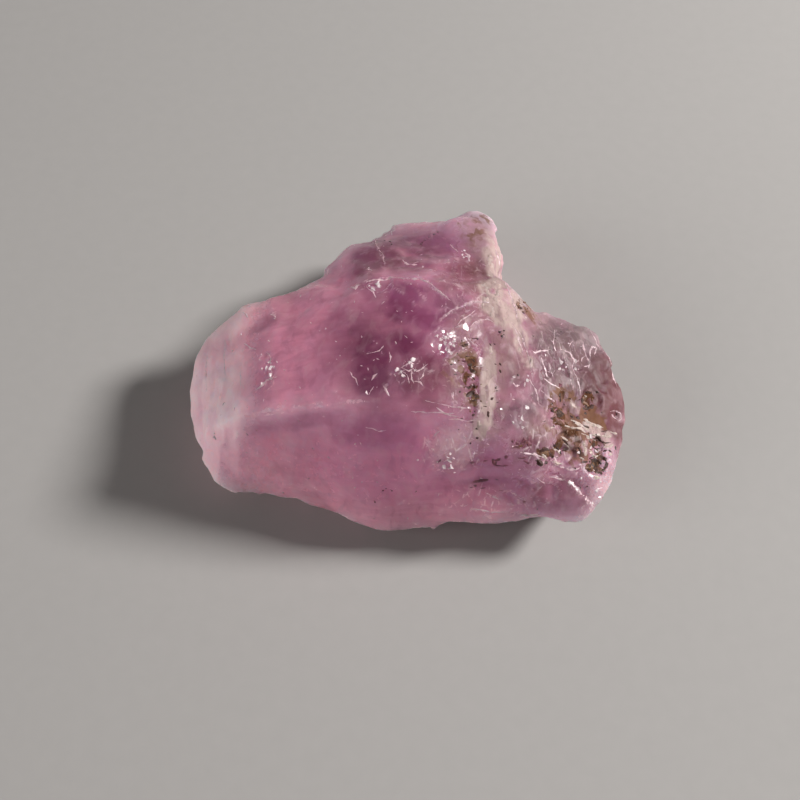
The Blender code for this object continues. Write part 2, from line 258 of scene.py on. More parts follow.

# The next tables weren't measured by hand. A separate program turned picked points into the
# places in FRACTURES, DARK_CRACKS, MAUVE_CRACKS and CREAM_BLADES, nearly all of those in SPECKS
# and under half of those in BREAKS, and it worked out many of the half widths. The tables of
# ovals above and the other tables below were set one by one.

# Healed fractures: half width in millimetres, then the places along the line.
FRACTURES = (
    (0.1, (-17.2, 7.9), (-16.7, 7.5), (-16.4, 7.0)),
    (0.08, (-14.0, 7.5), (-13.6, 7.3), (-13.4, 7.1)),
    (0.12, (-16.7, 4.4), (-16.0, 3.9), (-15.2, 3.7)),
    (0.1, (-14.1, 3.4), (-13.5, 2.8), (-13.4, 2.0), (-13.2, 1.4)),
    (0.12, (-14.9, -0.5), (-14.2, 0.0), (-13.8, 0.5), (-13.3, 0.7), (-12.6, 0.9)),
    (0.07, (-16.4, 0.2), (-16.2, -0.4)), (0.13, (-0.2, 13.5), (0.3, 12.9), (1.3, 12.8)),
    (0.14, (5.0, 15.6), (5.3, 15.1), (5.7, 14.7)),
    (0.14, (6.1, 14.7), (6.6, 14.4), (7.0, 14.1), (7.0, 13.4)), (0.07, (-1.5, 17.8), (-1.4, 17.0)),
    (0.05, (-3.4, 17.0), (-3.0, 15.2), (-2.4, 14.1), (-2.1, 12.7)),
    (0.15, (-5.6, 10.3), (-5.1, 10.0), (-4.9, 10.4), (-4.5, 10.5)),
    (0.13, (-4.0, 10.7), (-3.0, 11.0), (-2.1, 10.9), (-1.3, 11.2), (-0.7, 11.1)),
    (0.09, (-0.7, 11.1), (0.5, 10.9), (1.6, 10.9), (2.5, 10.4), (3.6, 9.4)),
    (0.12, (-3.9, 10.2), (-3.6, 9.9), (-3.3, 9.6), (-2.9, 9.0)),
    (0.09, (2.7, 9.8), (3.3, 9.5), (4.1, 8.9), (4.5, 8.5)),
    (0.1, (3.5, 6.6), (4.1, 7.0), (4.7, 7.5), (5.5, 7.8), (6.3, 8.2), (6.7, 8.4)),
    (0.16, (6.3, 8.2), (6.7, 8.4), (7.5, 8.4), (8.6, 8.5)),
    (0.07, (5.2, 6.0), (5.6, 6.5), (6.4, 7.0), (7.1, 7.6)),
    (0.12, (4.6, 5.6), (5.2, 5.8), (5.7, 6.0), (6.1, 6.3)),
    (0.08, (6.4, 5.7), (6.8, 6.2), (7.4, 6.5), (8.2, 6.6), (8.7, 6.3)),
    (0.1, (-3.8, 3.1), (-3.2, 3.2), (-2.5, 3.4), (-2.1, 3.9)),
    (0.08, (-1.5, 3.3), (-1.4, 2.8), (-1.5, 2.2)), (0.09, (-3.2, 0.5), (-3.0, 0.9), (-2.6, 1.2)),
    (0.09, (-3.0, -0.1), (-3.3, -0.5), (-3.5, -0.9)),
    (0.08, (-5.4, 1.4), (-5.1, 1.0), (-4.8, 0.6), (-4.5, 0.0)),
    (0.11, (-2.1, -0.1), (-1.8, -0.5), (-1.5, -1.0)),
    (0.08, (-3.8, -4.0), (-3.2, -4.1), (-2.5, -4.4), (-1.8, -4.3)),
    (0.08, (0.5, -2.5), (1.2, -2.5), (2.3, -2.6), (3.3, -2.6), (4.2, -2.7), (5.0, -2.6)),
    (0.1, (4.1, -3.2), (5.2, -3.3), (6.0, -3.4), (6.7, -3.3)),
    (0.1, (2.9, -2.1), (3.6, -2.6), (4.4, -2.9), (5.4, -3.0)), (0.06, (4.4, -0.7), (4.4, -1.4)),
    (0.09, (-0.4, 1.7), (0.4, 2.2), (0.9, 2.1)),
    (0.09, (-0.4, 1.3), (0.0, 1.2), (0.3, 0.8), (0.4, 0.2)),
    (0.08, (-0.1, 1.5), (0.4, 1.4), (0.9, 1.7)), (0.08, (0.6, 1.3), (0.6, 0.6), (0.8, 0.2)),
    (0.09, (1.0, 1.3), (1.5, 1.5), (2.2, 2.1)), (0.08, (1.3, 0.5), (1.7, 0.9), (1.8, 1.3)),
    (0.08, (0.7, 0.4), (1.4, 0.3), (1.7, -0.1)),
    (0.1, (9.9, 15.7), (10.3, 13.5), (10.4, 11.8), (10.7, 10.0), (11.2, 8.3), (11.4, 6.6)),
    (0.08, (11.4, 5.6), (11.9, 4.1), (12.3, 2.8), (12.4, 1.9), (12.5, 0.6)),
    (0.1, (12.5, 3.5), (13.0, 3.3), (13.5, 3.5), (14.3, 3.5), (14.7, 3.7)),
    (0.1, (13.6, 2.8), (13.9, 1.9), (14.1, 1.0), (14.3, 0.6)),
    (0.07, (14.4, 2.4), (14.6, 1.6), (14.8, 0.8)),
    (0.1, (15.9, 3.8), (16.2, 3.2), (16.4, 2.3), (16.7, 1.5), (16.7, 0.6), (16.9, -0.4)),
    (0.09, (16.0, 3.8), (16.8, 3.5), (17.2, 3.2), (17.4, 2.6), (17.1, 1.8), (17.2, 1.4)),
    (0.1, (17.2, 1.4), (17.5, 0.7), (17.7, -0.1), (17.8, -0.9)),
    (0.13, (18.8, 4.6), (18.8, 3.8), (18.9, 2.9)),
    (0.13, (19.1, 1.9), (19.3, 2.9), (19.5, 3.8), (19.9, 4.2), (20.3, 4.0), (19.9, 3.3)),
    (0.1, (18.3, 2.5), (18.4, 2.9), (18.8, 3.1), (19.1, 2.7), (19.0, 2.1), (18.5, 2.0)),
    (0.1, (21.2, 3.8), (21.5, 3.1), (21.7, 2.5), (21.9, 1.8)),
    (0.1, (21.8, 1.5), (22.0, 0.5), (22.1, -0.2)),
    (0.07, (13.3, 0.9), (14.2, 0.4), (15.0, 0.0), (15.5, -0.4), (16.1, -0.6)),
    (0.1, (13.3, -0.5), (14.0, -1.1), (14.9, -1.6)), (0.09, (17.0, 4.0), (17.3, 4.5), (17.6, 4.7)),
    (0.08, (21.0, -2.6), (21.7, -2.6), (22.3, -2.8), (22.4, -3.4), (22.1, -3.6)),
    (0.08, (22.1, -3.6), (21.6, -3.3), (21.2, -2.8)),
    (0.1, (13.9, -7.2), (14.6, -7.7), (15.4, -8.1), (16.2, -8.3), (17.1, -8.3), (17.6, -7.9)),
    (0.1, (14.1, -9.0), (14.9, -9.1), (15.5, -9.3), (15.9, -9.3)),
    (0.05, (15.1, -8.7), (15.5, -9.0), (15.9, -9.0)),
    (0.09, (12.9, -9.0), (13.3, -9.4), (13.8, -9.8)),
    (0.15, (17.2, -10.2), (17.5, -10.7), (17.9, -11.1), (18.3, -11.5), (19.0, -12.3)),
    (0.1, (18.9, -10.4), (19.4, -10.3), (19.9, -10.1)),
    (0.1, (5.4, -11.9), (5.9, -12.0), (6.3, -11.8)),
    (0.1, (6.5, -12.3), (7.3, -12.3), (8.0, -12.5), (8.4, -12.6), (9.8, -12.6)),
    (0.1, (7.9, -10.6), (8.5, -10.9), (9.1, -11.2), (9.6, -11.3)),
    (0.12, (11.0, -11.6), (11.6, -11.8)),
    (0.14, (11.5, -13.1), (12.0, -13.0), (12.6, -13.0), (13.3, -12.9)),
    (0.06, (10.4, -10.5), (11.2, -11.0), (11.9, -11.4)), (0.08, (5.5, -4.9), (5.8, -5.1)),
    (0.08, (2.7, -4.9), (3.0, -4.6), (3.3, -4.4)),
    (0.06, (3.7, -7.4), (4.1, -7.2), (4.5, -7.1), (4.8, -7.3)),
    (0.09, (10.7, 6.4), (11.3, 4.8), (11.7, 3.3)),
    (0.07, (1.9, -1.4), (3.3, -1.8), (4.7, -2.1), (6.0, -2.2)),
    (0.1, (11.0, -6.4), (12.5, -6.7), (13.9, -7.1)),
    (0.09, (12.2, 0.7), (12.8, -0.6), (13.1, -1.8)), (0.09, (15.7, 5.9), (15.2, 4.5), (15.4, 3.5)),
    (0.06, (19.9, 6.0), (20.4, 4.9), (20.7, 3.8)),
    (0.08, (5.98, 4.87), (6.37, 4.37), (6.75, 4.08), (7.14, 3.88)),
    (0.06, (6.48, 4.78), (6.37, 4.37)), (0.06, (6.44, 3.77), (6.83, 3.57)),
    (0.07, (6.38, 1.89), (7.17, 1.8), (7.96, 1.9)),
    (0.08, (4.55, -0.63), (4.45, -1.1), (4.54, -1.39)), (0.07, (5.4, -1.58), (5.69, -1.77)),
    (0.08, (3.39, -2.62), (3.96, -2.72), (4.82, -2.62)),
    (0.15, (10.47, 0.25), (10.75, -0.05), (11.16, 0.05)), (0.08, (11.67, 0.35), (11.64, -0.14)),
    (0.07, (10.23, -0.72), (10.2, -1.11)), (0.07, (10.29, -1.3), (10.58, -1.4)),
    (0.09, (10.04, -2.74), (10.23, -3.02)), (0.08, (5.51, -4.92), (5.9, -5.22)),
    (0.07, (6.27, -5.02), (6.57, -5.21)), (0.06, (2.66, -4.94), (3.13, -4.45), (3.7, -4.35)),
    (0.09, (7.73, -5.61), (8.03, -5.7)), (0.08, (5.08, -6.4), (5.45, -6), (5.83, -5.71)),
    (0.07, (9.47, -7.79), (9.69, -8.1)), (0.09, (14.33, -1.71), (14.63, -2)),
    (0.08, (13.87, -2.19), (13.98, -2.19)), (0.09, (2.48, -6.1), (2.76, -6.2)),
    (0.12, (11.73, -12.96), (12.55, -13.08), (13.54, -13.06)),
    (0.06, (-16.8, 2.1), (-16.6, 0.6), (-16.5, -0.9)),
    (0.07, (-19.0, 4.9), (-18.8, 2.7), (-18.4, 0.6)),
    (0.06, (-20.9, 3.8), (-21.0, 1.7), (-20.6, -0.6)),
)

# Dark iron cracks, in the same columns.
DARK_CRACKS = (
    (0.12, (15.39, -0.73), (15.49, -1.22), (15.48, -1.62)), (0.11, (15.83, -1.72), (15.93, -2.02)),
    (0.09, (14.3, -2.29), (14.73, -2.2), (15.18, -2.21)),
    (0.09, (14.26, -3.17), (14.57, -3.27), (14.8, -3.08)), (0.09, (13.29, -3.54), (13.71, -3.45)),
    (0.13, (16.55, -2.92), (16.86, -3.22)), (0.13, (17.11, -3.13), (17.54, -3.33)),
    (0.08, (16.68, -3.61), (17.14, -3.72)), (0.12, (17.82, -3.93), (18.16, -4.14), (18.49, -4.24)),
    (0.1, (16.85, -4.39), (17.29, -4.5), (17.75, -4.62)), (0.13, (17.98, -2.24), (18.31, -2.35)),
    (0.13, (18.06, -2.75), (18.39, -2.85)), (0.16, (18.33, -2.04), (18.76, -2.25), (19.33, -1.95)),
    (0.07, (16.67, -1.43), (16.91, -1.43)), (0.07, (17.49, -1.44), (17.82, -1.34)),
    (0.1, (18.41, -0.53), (18.85, -0.73), (19.19, -0.63)),
    (0.11, (19.53, -0.52), (19.84, -0.73), (19.83, -0.93)),
    (0.11, (15.44, -5.25), (15.77, -5.46), (16.11, -5.87)),
    (0.12, (14.34, -5.61), (14.79, -6.02), (15.12, -6.32), (15.47, -6.74)),
    (0.15, (13.05, -6.44), (13.57, -6.16), (14.01, -6.27), (14.23, -6.58)),
    (0.13, (13.9, -6.46), (14.24, -6.87), (15.04, -7.12)),
    (0.19, (12.75, -7.2), (13.07, -7.51), (13.4, -7.72)), (0.15, (13.71, -7.34), (13.83, -7.65)),
    (0.12, (15.57, -6.44), (16.02, -6.36)), (0.11, (16.74, -5.68), (16.86, -5.98)),
    (0.12, (17.19, -5.99), (17.42, -6.5), (17.54, -7.11)),
    (0.12, (18.86, -5.34), (19.43, -5.16), (19.75, -5.56), (20.35, -5.79), (20.94, -5.81)),
    (0.12, (18.39, -5.43), (18.71, -5.83)), (0.1, (18.4, -7.33), (18.93, -7.14)),
    (0.1, (17.53, -7.6), (18.29, -7.62)),
    (0.19, (19.58, -7.05), (20.16, -7.38), (20.28, -7.89), (19.95, -8.49)),
    (0.16, (18.72, -7.83), (18.94, -8.24), (19.28, -8.66), (19.83, -8.78)),
    (0.13, (19.27, -7.45), (19.74, -7.88)), (0.08, (19.71, -4.57), (20.54, -4.59)),
    (0.09, (19.93, -6.66), (20.51, -6.49), (21.1, -6.71)), (0.08, (16.13, -8.15), (16.44, -8.16)),
    (0.08, (16.66, -8.17), (16.98, -8.28)), (0.1, (18.16, -8.01), (18.71, -8.23)),
    (0.1, (18.03, -8.4), (18.58, -8.62)), (0.08, (19.83, -2.66), (20.15, -2.76)),
    (0.1, (21.74, -2.69), (21.97, -3)), (0.09, (21.38, -6.12), (21.59, -6.53)),
    (0.08, (18.92, -6.23), (19.36, -6.45), (19.94, -6.37)), (0.08, (19.27, -5.95), (19.72, -6.16)),
    (0.08, (5.48, 4.47), (5.57, 4.27)), (0.14, (5.55, 3.86), (5.95, 3.97), (6.26, 4.17)),
    (0.08, (6.58, 4.68), (7.27, 4.59)), (0.09, (4.94, 2.97), (5.14, 3.16)),
    (0.11, (4.43, 2.08), (4.82, 2.08)), (0.09, (6.4, 2.68), (6.79, 2.29)),
    (0.09, (4.7, 1.1), (5.09, 1.11)), (0.13, (6.27, 1.31), (6.47, 1.4), (6.76, 1.31)),
    (0.11, (6.46, 0.92), (6.74, 0.53)), (0.16, (5.74, -0.05), (6.12, -0.24), (6.53, 0.05)),
    (0.13, (6.53, 0.14), (6.81, -0.24)), (0.09, (5.13, -0.63), (5.43, -0.53)),
    (0.14, (5.9, -1.01), (6.2, -0.82), (6.4, -0.63)), (0.13, (6.5, -0.53), (6.68, -1.11)),
    (0.12, (6.27, -1.49), (6.86, -1.39)), (0.1, (8.66, -0.34), (8.87, -0.05)),
    (0.09, (8.56, -0.53), (8.96, -0.53)), (0.1, (8.13, -1.4), (8.43, -1.2)),
    (0.08, (8.71, -1.59), (9, -1.59)), (0.13, (7.9, -2.44), (7.98, -3.01)),
    (0.1, (8.36, 4.2), (8.55, 3.9)), (0.08, (8.66, 4.1), (8.96, 4.1)),
    (0.08, (9.15, 2.2), (9.33, 1.9)), (0.07, (8.65, 2.1), (8.84, 2)),
    (0.07, (9.22, 1.61), (9.31, 1.22)), (0.07, (7.43, -1.97), (7.82, -2.06)),
    (0.1, (6.34, -2.91), (6.63, -2.72)), (0.07, (5.11, -3.19), (5.49, -3.19)),
    (0.07, (6.16, -3.48), (6.53, -3.48)), (0.1, (6.75, -5.01), (7.03, -5.01)),
    (0.09, (6.29, -5.41), (6.3, -5.61)), (0.08, (3.86, -7.79), (4.25, -8)),
)

# Dark mauve cracks, in the same columns.
MAUVE_CRACKS = (
    (0.11, (10.1, -5.31), (10.39, -5.31)), (0.14, (10.5, -5.6), (10.89, -5.51)),
    (0.08, (10.21, -5.98), (10.6, -5.79), (11.1, -5.9)),
    (0.15, (11.09, -5.42), (11.69, -5.24), (12.01, -4.96)), (0.11, (11.59, -5.62), (12.22, -5.73)),
    (0.1, (6.27, -7.49), (6.84, -7.39)), (0.09, (7.61, -7.29), (7.99, -7.29)),
    (0.16, (8.39, -7.49), (8.76, -7.29)), (0.09, (8.76, -7.18), (9.23, -7.08)),
    (0.09, (9.5, -6.88), (9.97, -6.87)), (0.06, (8.79, -7.69), (9.47, -7.79), (10.05, -7.79)),
    (0.13, (6.66, -9.45), (7.36, -9.37), (8.15, -9.27)), (0.09, (6.78, -9.78), (7.09, -9.9)),
    (0.06, (6.29, -10.08), (6.69, -9.99)), (0.06, (7.4, -10.1), (7.9, -10.11)),
    (0.06, (8.82, -9.16), (9.22, -9.27)), (0.09, (9.28, -10.31), (9.68, -10.41)),
    (0.09, (11.6, -11.54), (11.9, -11.54)), (0.09, (10.85, -6.98), (11.34, -6.98), (11.73, -6.89)),
    (0.09, (11.37, -7.29), (11.96, -7.58)), (0.08, (3.17, -7.49), (3.46, -7.19)),
    (0.09, (5.51, 2.38), (5.9, 2.28)), (0.1, (13.48, 1.55), (13.66, 1.06), (13.73, 0.56)),
    (0.09, (15.37, 0.27), (15.64, -0.23)),
)

# Cream blades between the dark cracks, in the same columns.
CREAM_BLADES = (
    (0.14, (17.9, -3.34), (18.86, -3.85), (20.06, -4.27)),
    (0.12, (16.48, -3.41), (17.24, -3.82), (17.91, -4.23), (18.7, -4.55)),
    (0.11, (15.86, -3.88), (16.63, -4.19), (17.53, -4.31), (18.23, -4.73)),
    (0.1, (17.51, -4.71), (18.53, -5.23), (19.29, -5.55)),
    (0.13, (18.56, -4.84), (19.67, -5.06), (21.09, -5.21)),
    (0.09, (14.23, -5.8), (14.67, -6.21), (15.25, -6.73)),
    (0.08, (15.32, -4.95), (15.76, -5.16), (16.2, -5.47)),
    (0.1, (15.56, -5.65), (16.01, -6.06), (16.34, -6.27)),
    (0.18, (17.72, -5.7), (18.06, -6.32), (17.97, -7.02)),
    (0.1, (18.49, -6.43), (18.82, -6.73), (19.04, -7.14)),
    (0.13, (13.26, -6.64), (13.58, -6.94), (13.81, -7.25)),
    (0.13, (14.49, -7.39), (15.03, -7.71), (15.47, -7.72)),
    (0.12, (20.06, -6.17), (20.66, -6.2), (21.16, -6.02)),
    (0.12, (18.72, -6.93), (19.15, -7.14), (19.69, -6.95)), (0.08, (18.82, -8.34), (19.27, -8.86)),
    (0.16, (18.79, -9.02), (19.48, -9.26)), (0.1, (20.49, -6.88), (20.96, -7)),
    (0.1, (20.89, -4.7), (21.7, -4.92)), (0.09, (18.29, -0.93), (18.49, -1.24)),
    (0.08, (14.22, -4.14), (14.77, -4.05)), (0.1, (17.43, -7.1), (17.86, -7.41)),
)

# Dark mineral specks: middle on the drawing plane and size across.
SPECKS = (
    (5.1, -4.2, 0.14), (6.8, -4.1, 0.20), (11, 1, 0.22), (10.3, 11.5, 0.20), (12, 8, 0.30),
    (12.1, 7.5, 0.30), (9.4, 5.3, 0.28), (9.6, 4.9, 0.34), (-2.2, 16.2, 0.20), (-1.6, 16, 0.26),
    (-1.4, 15.6, 0.22), (1.8, 15.7, 0.22), (2, 15.9, 0.16), (2.3, 16.2, 0.22), (2.7, 16.6, 0.16),
    (3.3, 16.9, 0.24), (3.7, 17.2, 0.20), (-2.2, -10.4, 0.18), (-1.9, -10.2, 0.12),
    (-1.3, -10.4, 0.16), (1.1, -10.4, 0.16), (-3, -11.6, 0.18), (12.9, 5, 0.18), (15.5, 4.9, 0.14),
    (16.4, 5.7, 0.16), (17.4, -10.1, 0.18), (18.1, -10, 0.16), (15.3, -13.1, 0.12),
    (13.2, -12.3, 0.12), (14.6, -4, 0.26),
)

# Cloudy veils sealed inside: middle, depth below the outside, half sizes, turn, tilt.
VEILS = (
    ((-2.2, 2.0), 2.6, (3.4, 1.5), 35, 20), ((-4.6, -0.8), 3.4, (2.2, 1.6), -30, -25),
    ((0.6, 0.9), 1.6, (2.4, 1.1), 10, 15), ((3.4, 3.2), 1.8, (2.4, 1.6), -20, 18),
    ((6.0, 0.2), 1.5, (2.4, 2.0), 70, -15), ((8.2, 4.2), 1.6, (2.6, 1.3), 60, 22),
    ((4.2, -4.8), 1.7, (2.6, 1.4), 5, -20), ((12.6, -0.6), 1.6, (2.4, 1.6), 75, 14),
    ((16.0, 2.2), 1.5, (2.2, 1.4), -60, -18), ((-9.6, 2.8), 3.0, (2.8, 1.8), 15, 12),
    ((-10.8, -5.2), 2.2, (2.6, 1.2), 25, -18), ((-1.0, -7.6), 2.8, (3.2, 1.4), -8, 16),
    ((1.6, 9.2), 2.2, (3.0, 1.4), -25, -20), ((13.0, -9.6), 1.8, (2.6, 1.0), -12, 20),
)

# Raised places on the outside, in millimetres: middle, reach, height.
SWELLS = (
    ((6.6, -17.7, 5.0), 5.0, 0.6), ((17.5, -17.0, 6.5), 4.5, 0.6), ((19.8, -14.8, 7.2), 3.0, 0.3),
    ((-4.4, 12.3, 9.2), 6.0, 0.6), ((-17.5, 2.6, 9.3), 4.5, 0.45), ((-21.2, -5.0, 6.6), 6.0, 0.12),
    ((6.0, 15.5, 9.6), 2.5, 0.5),
)

# Crisp breaks: height and reach of the left side, then the places along the line.
BREAKS = (
    (0.14, 0.9, (-20.3, -0.5), (-20.2, -3.2), (-20.4, -5.2)),
    (0.12, 0.8, (-19.1, 0.8), (-19.0, -2.6)), (0.1, 0.7, (-17.3, -0.6), (-17.1, -2.6)),
    (0.05, 1.4, (-7.2, -1.7), (-9.0, -2.1), (-10.9, -2.4), (-13.2, -2.7), (-16.7, -3.2)),
    (-0.16, 1.1, (4.5, 8.5), (3.3, 9.5), (1.6, 10.9), (-0.7, 11.1), (-3.6, 10.9), (-5.6, 10.3)),
    (-0.22, 1.6, (8.6, 8.5), (6.7, 8.4), (5.5, 7.8), (4.1, 7.0), (3.3, 6.2)),
    (0.16, 1.0, (11.2, 8.3), (11.6, 5.6), (12.3, 2.8), (12.6, 0.6)),
    (0.18, 1.1, (16.0, 3.9), (16.4, 2.3), (16.8, 0.4), (17.0, -1.0)),
    (0.15, 0.9, (13.5, 3.0), (14.0, 1.4), (14.4, 0.2)),
    (0.18, 0.9, (19.0, 5.0), (18.9, 3.2), (19.2, 1.6)),
    (0.22, 1.1, (13.9, -7.2), (15.4, -8.1), (17.1, -8.3), (17.8, -7.7)),
    (0.12, 1.0, (10.4, -10.4), (12.6, -11.6), (14.6, -11.8)),
    (0.14, 1.0, (6.4, -12.3), (8.4, -12.6), (10.2, -12.6), (12.6, -12.9)),
    (0.1, 0.8, (7.8, -10.5), (9.6, -11.3)),
    (-0.28, 1.4, (17.0, -9.9), (18.0, -11.2), (19.2, -12.5)),
    (0.14, 1.0, (-3.8, 17.2), (-3.0, 15.2), (-2.0, 12.6)),
)

# Shell-like ribs: middle, radii, angles in degrees, spacing, height.
RIBS = (
    ((-4.5, 3.5), (6.0, 9.6), (20, 80), 1.2, 0.05),
    ((2.0, 13.8), (1.2, 4.6), (-130, 10), 0.9, 0.06),
    ((9.5, 3.0), (2.2, 5.6), (95, 175), 0.8, 0.06),
    ((-12.0, -9.0), (3.0, 9.5), (-40, 40), 1.5, 0.012),
)

# Hollows with a crisp rim: middle, half sizes, turn in degrees, depth.
HOLLOWS = (
    ((0.6, 13.9), (1.3, 0.9), 0, 0.22), ((3.7, 4.0), (1.9, 1.5), 20, 0.25),
    ((5.8, 1.2), (1.5, 3.2), 0, 0.16), ((8.9, 7.4), (0.9, 0.7), 0, 0.15),
    ((15.6, -6.8), (1.7, 1.1), -8, 0.32), ((21.7, -3.1), (0.6, 0.45), -20, 0.22),
    ((15.4, -2.9), (1.7, 1.6), 0, 0.45), ((18.9, -1.7), (1.4, 1.3), 0, 0.35),
    ((19.2, -6.6), (1.3, 2.0), -10, 0.4), ((11.0, 0.2), (0.8, 0.7), 0, 0.16),
    ((-14.6, 1.0), (1.5, 0.6), 50, 0.12), ((4.2, -7.2), (1.5, 1.1), 0, 0.22),
    ((-16.0, 4.2), (1.0, 0.35), -30, 0.12),
)

# Clusters of small flat breaks: middle, half sizes, how many, size.
FACETS = (
    ((4.0, 4.2), (1.1, 1.1), 12, 0.7), ((6.6, 4.2), (0.7, 0.6), 5, 0.5),
    ((0.9, 1.2), (1.7, 1.2), 3, 0.4), ((-14.0, 1.8), (1.0, 2.2), 6, 0.6),
    ((4.1, -7.2), (1.3, 0.9), 6, 0.4), ((16.6, 1.8), (4.0, 3.6), 26, 1.1),
    ((17.0, -6.0), (3.2, 3.0), 26, 0.8), ((18.8, -10.6), (1.0, 1.6), 3, 0.5),
    ((14.0, -10.2), (4.0, 1.4), 14, 0.9), ((-3.0, 10.2), (1.6, 0.8), 8, 0.7),
)


def unit(vectors):
    """The same directions, each one long."""
    return vectors / np.linalg.norm(vectors, axis=-1, keepdims=True)


def smooth(values, low, high):
    """0 up to `low`, 1 from `high`, and a soft slope between."""
    share = np.clip((values - low) / (high - low), 0.0, 1.0)
    return share * share * (3.0 - 2.0 * share)


def lattice(cells, seed):
    """A repeatable number from -1 to 1 for each whole-number cell."""
    mixed = cells @ np.array(CELL_MIX) + seed * SEED_MIX
    mixed = (mixed ^ (mixed >> 13)) * BIT_MIX
    mixed = mixed ^ (mixed >> 16)
    return (mixed & 0xFFFF) / 32767.5 - 1.0


def lumps(points, size, seed):
    """Smooth noise from -1 to 1 with lumps about `size` millimetres across."""
    scaled = points / size
    base = np.floor(scaled).astype(np.int64)
    part = scaled - base
    part = part * part * (3.0 - 2.0 * part)
    total = np.zeros(len(points))
    for corner in itertools.product((0, 1), repeat=3):
        share = np.prod(np.where(np.array(corner), part, 1.0 - part), axis=-1)
        total += share * lattice(base + np.array(corner), seed)
    return total


def cloud(points, size, seed, layers=3):
    """Noise with finer lumps added on the coarse ones."""
    parts = [lumps(points, size / 2**k, seed + k) / 2**k for k in range(layers)]
    return sum(parts)


def to_line(places, line):
    """Distance from a line on the drawing plane, side of it, and share of its length."""
    line = np.array(line)
    lengths = np.hypot(*(line[1:] - line[:-1]).T)
    gaps = np.full(len(places), np.inf)
    sides = np.zeros(len(places))
    shares = np.zeros(len(places))
    run = 0.0
    for start, end, length in zip(line, line[1:], lengths):
        step = (end - start) / length
        travel = np.clip((places - start) @ step, 0.0, length)
        off = places - start - travel[:, None] * step
        gap = np.hypot(off[:, 0], off[:, 1])
        closer = gap < gaps
        gaps[closer] = gap[closer]
        sides[closer] = np.sign(step[0] * off[:, 1] - step[1] * off[:, 0])[closer]
        shares[closer] = ((run + travel) / lengths.sum())[closer]
        run += length
    return gaps, sides, shares


def in_oval(places, middle, half, turn):
    """Places along and across a turned oval, as shares of its half sizes."""
    angle = math.radians(turn)
    off = places - np.array(middle)
    along = (off[:, 0] * math.cos(angle) + off[:, 1] * math.sin(angle)) / half[0]
    across = (off[:, 1] * math.cos(angle) - off[:, 0] * math.sin(angle)) / half[1]
    return along, across


def patch(places, middle, half, turn):
    """1 in the middle of a soft oval on the drawing plane and 0 well outside it."""
    return 1.0 - smooth(np.hypot(*in_oval(places, middle, half, turn)), 0.45, 1.25)


def corners_of(mesh):
    """A mesh's corners in millimetres."""
    corners = np.empty(len(mesh.vertices) * 3)
    mesh.vertices.foreach_get("co", corners)
    return corners.reshape(-1, 3) / MM


def put_back(mesh, corners):
    """Gives a mesh its corners from places in millimetres, kept inside the solid's box."""
    inside = np.clip(corners, LOW_CORNER, HIGH_CORNER)
    mesh.vertices.foreach_set("co", (inside * MM).ravel())
    mesh.update()


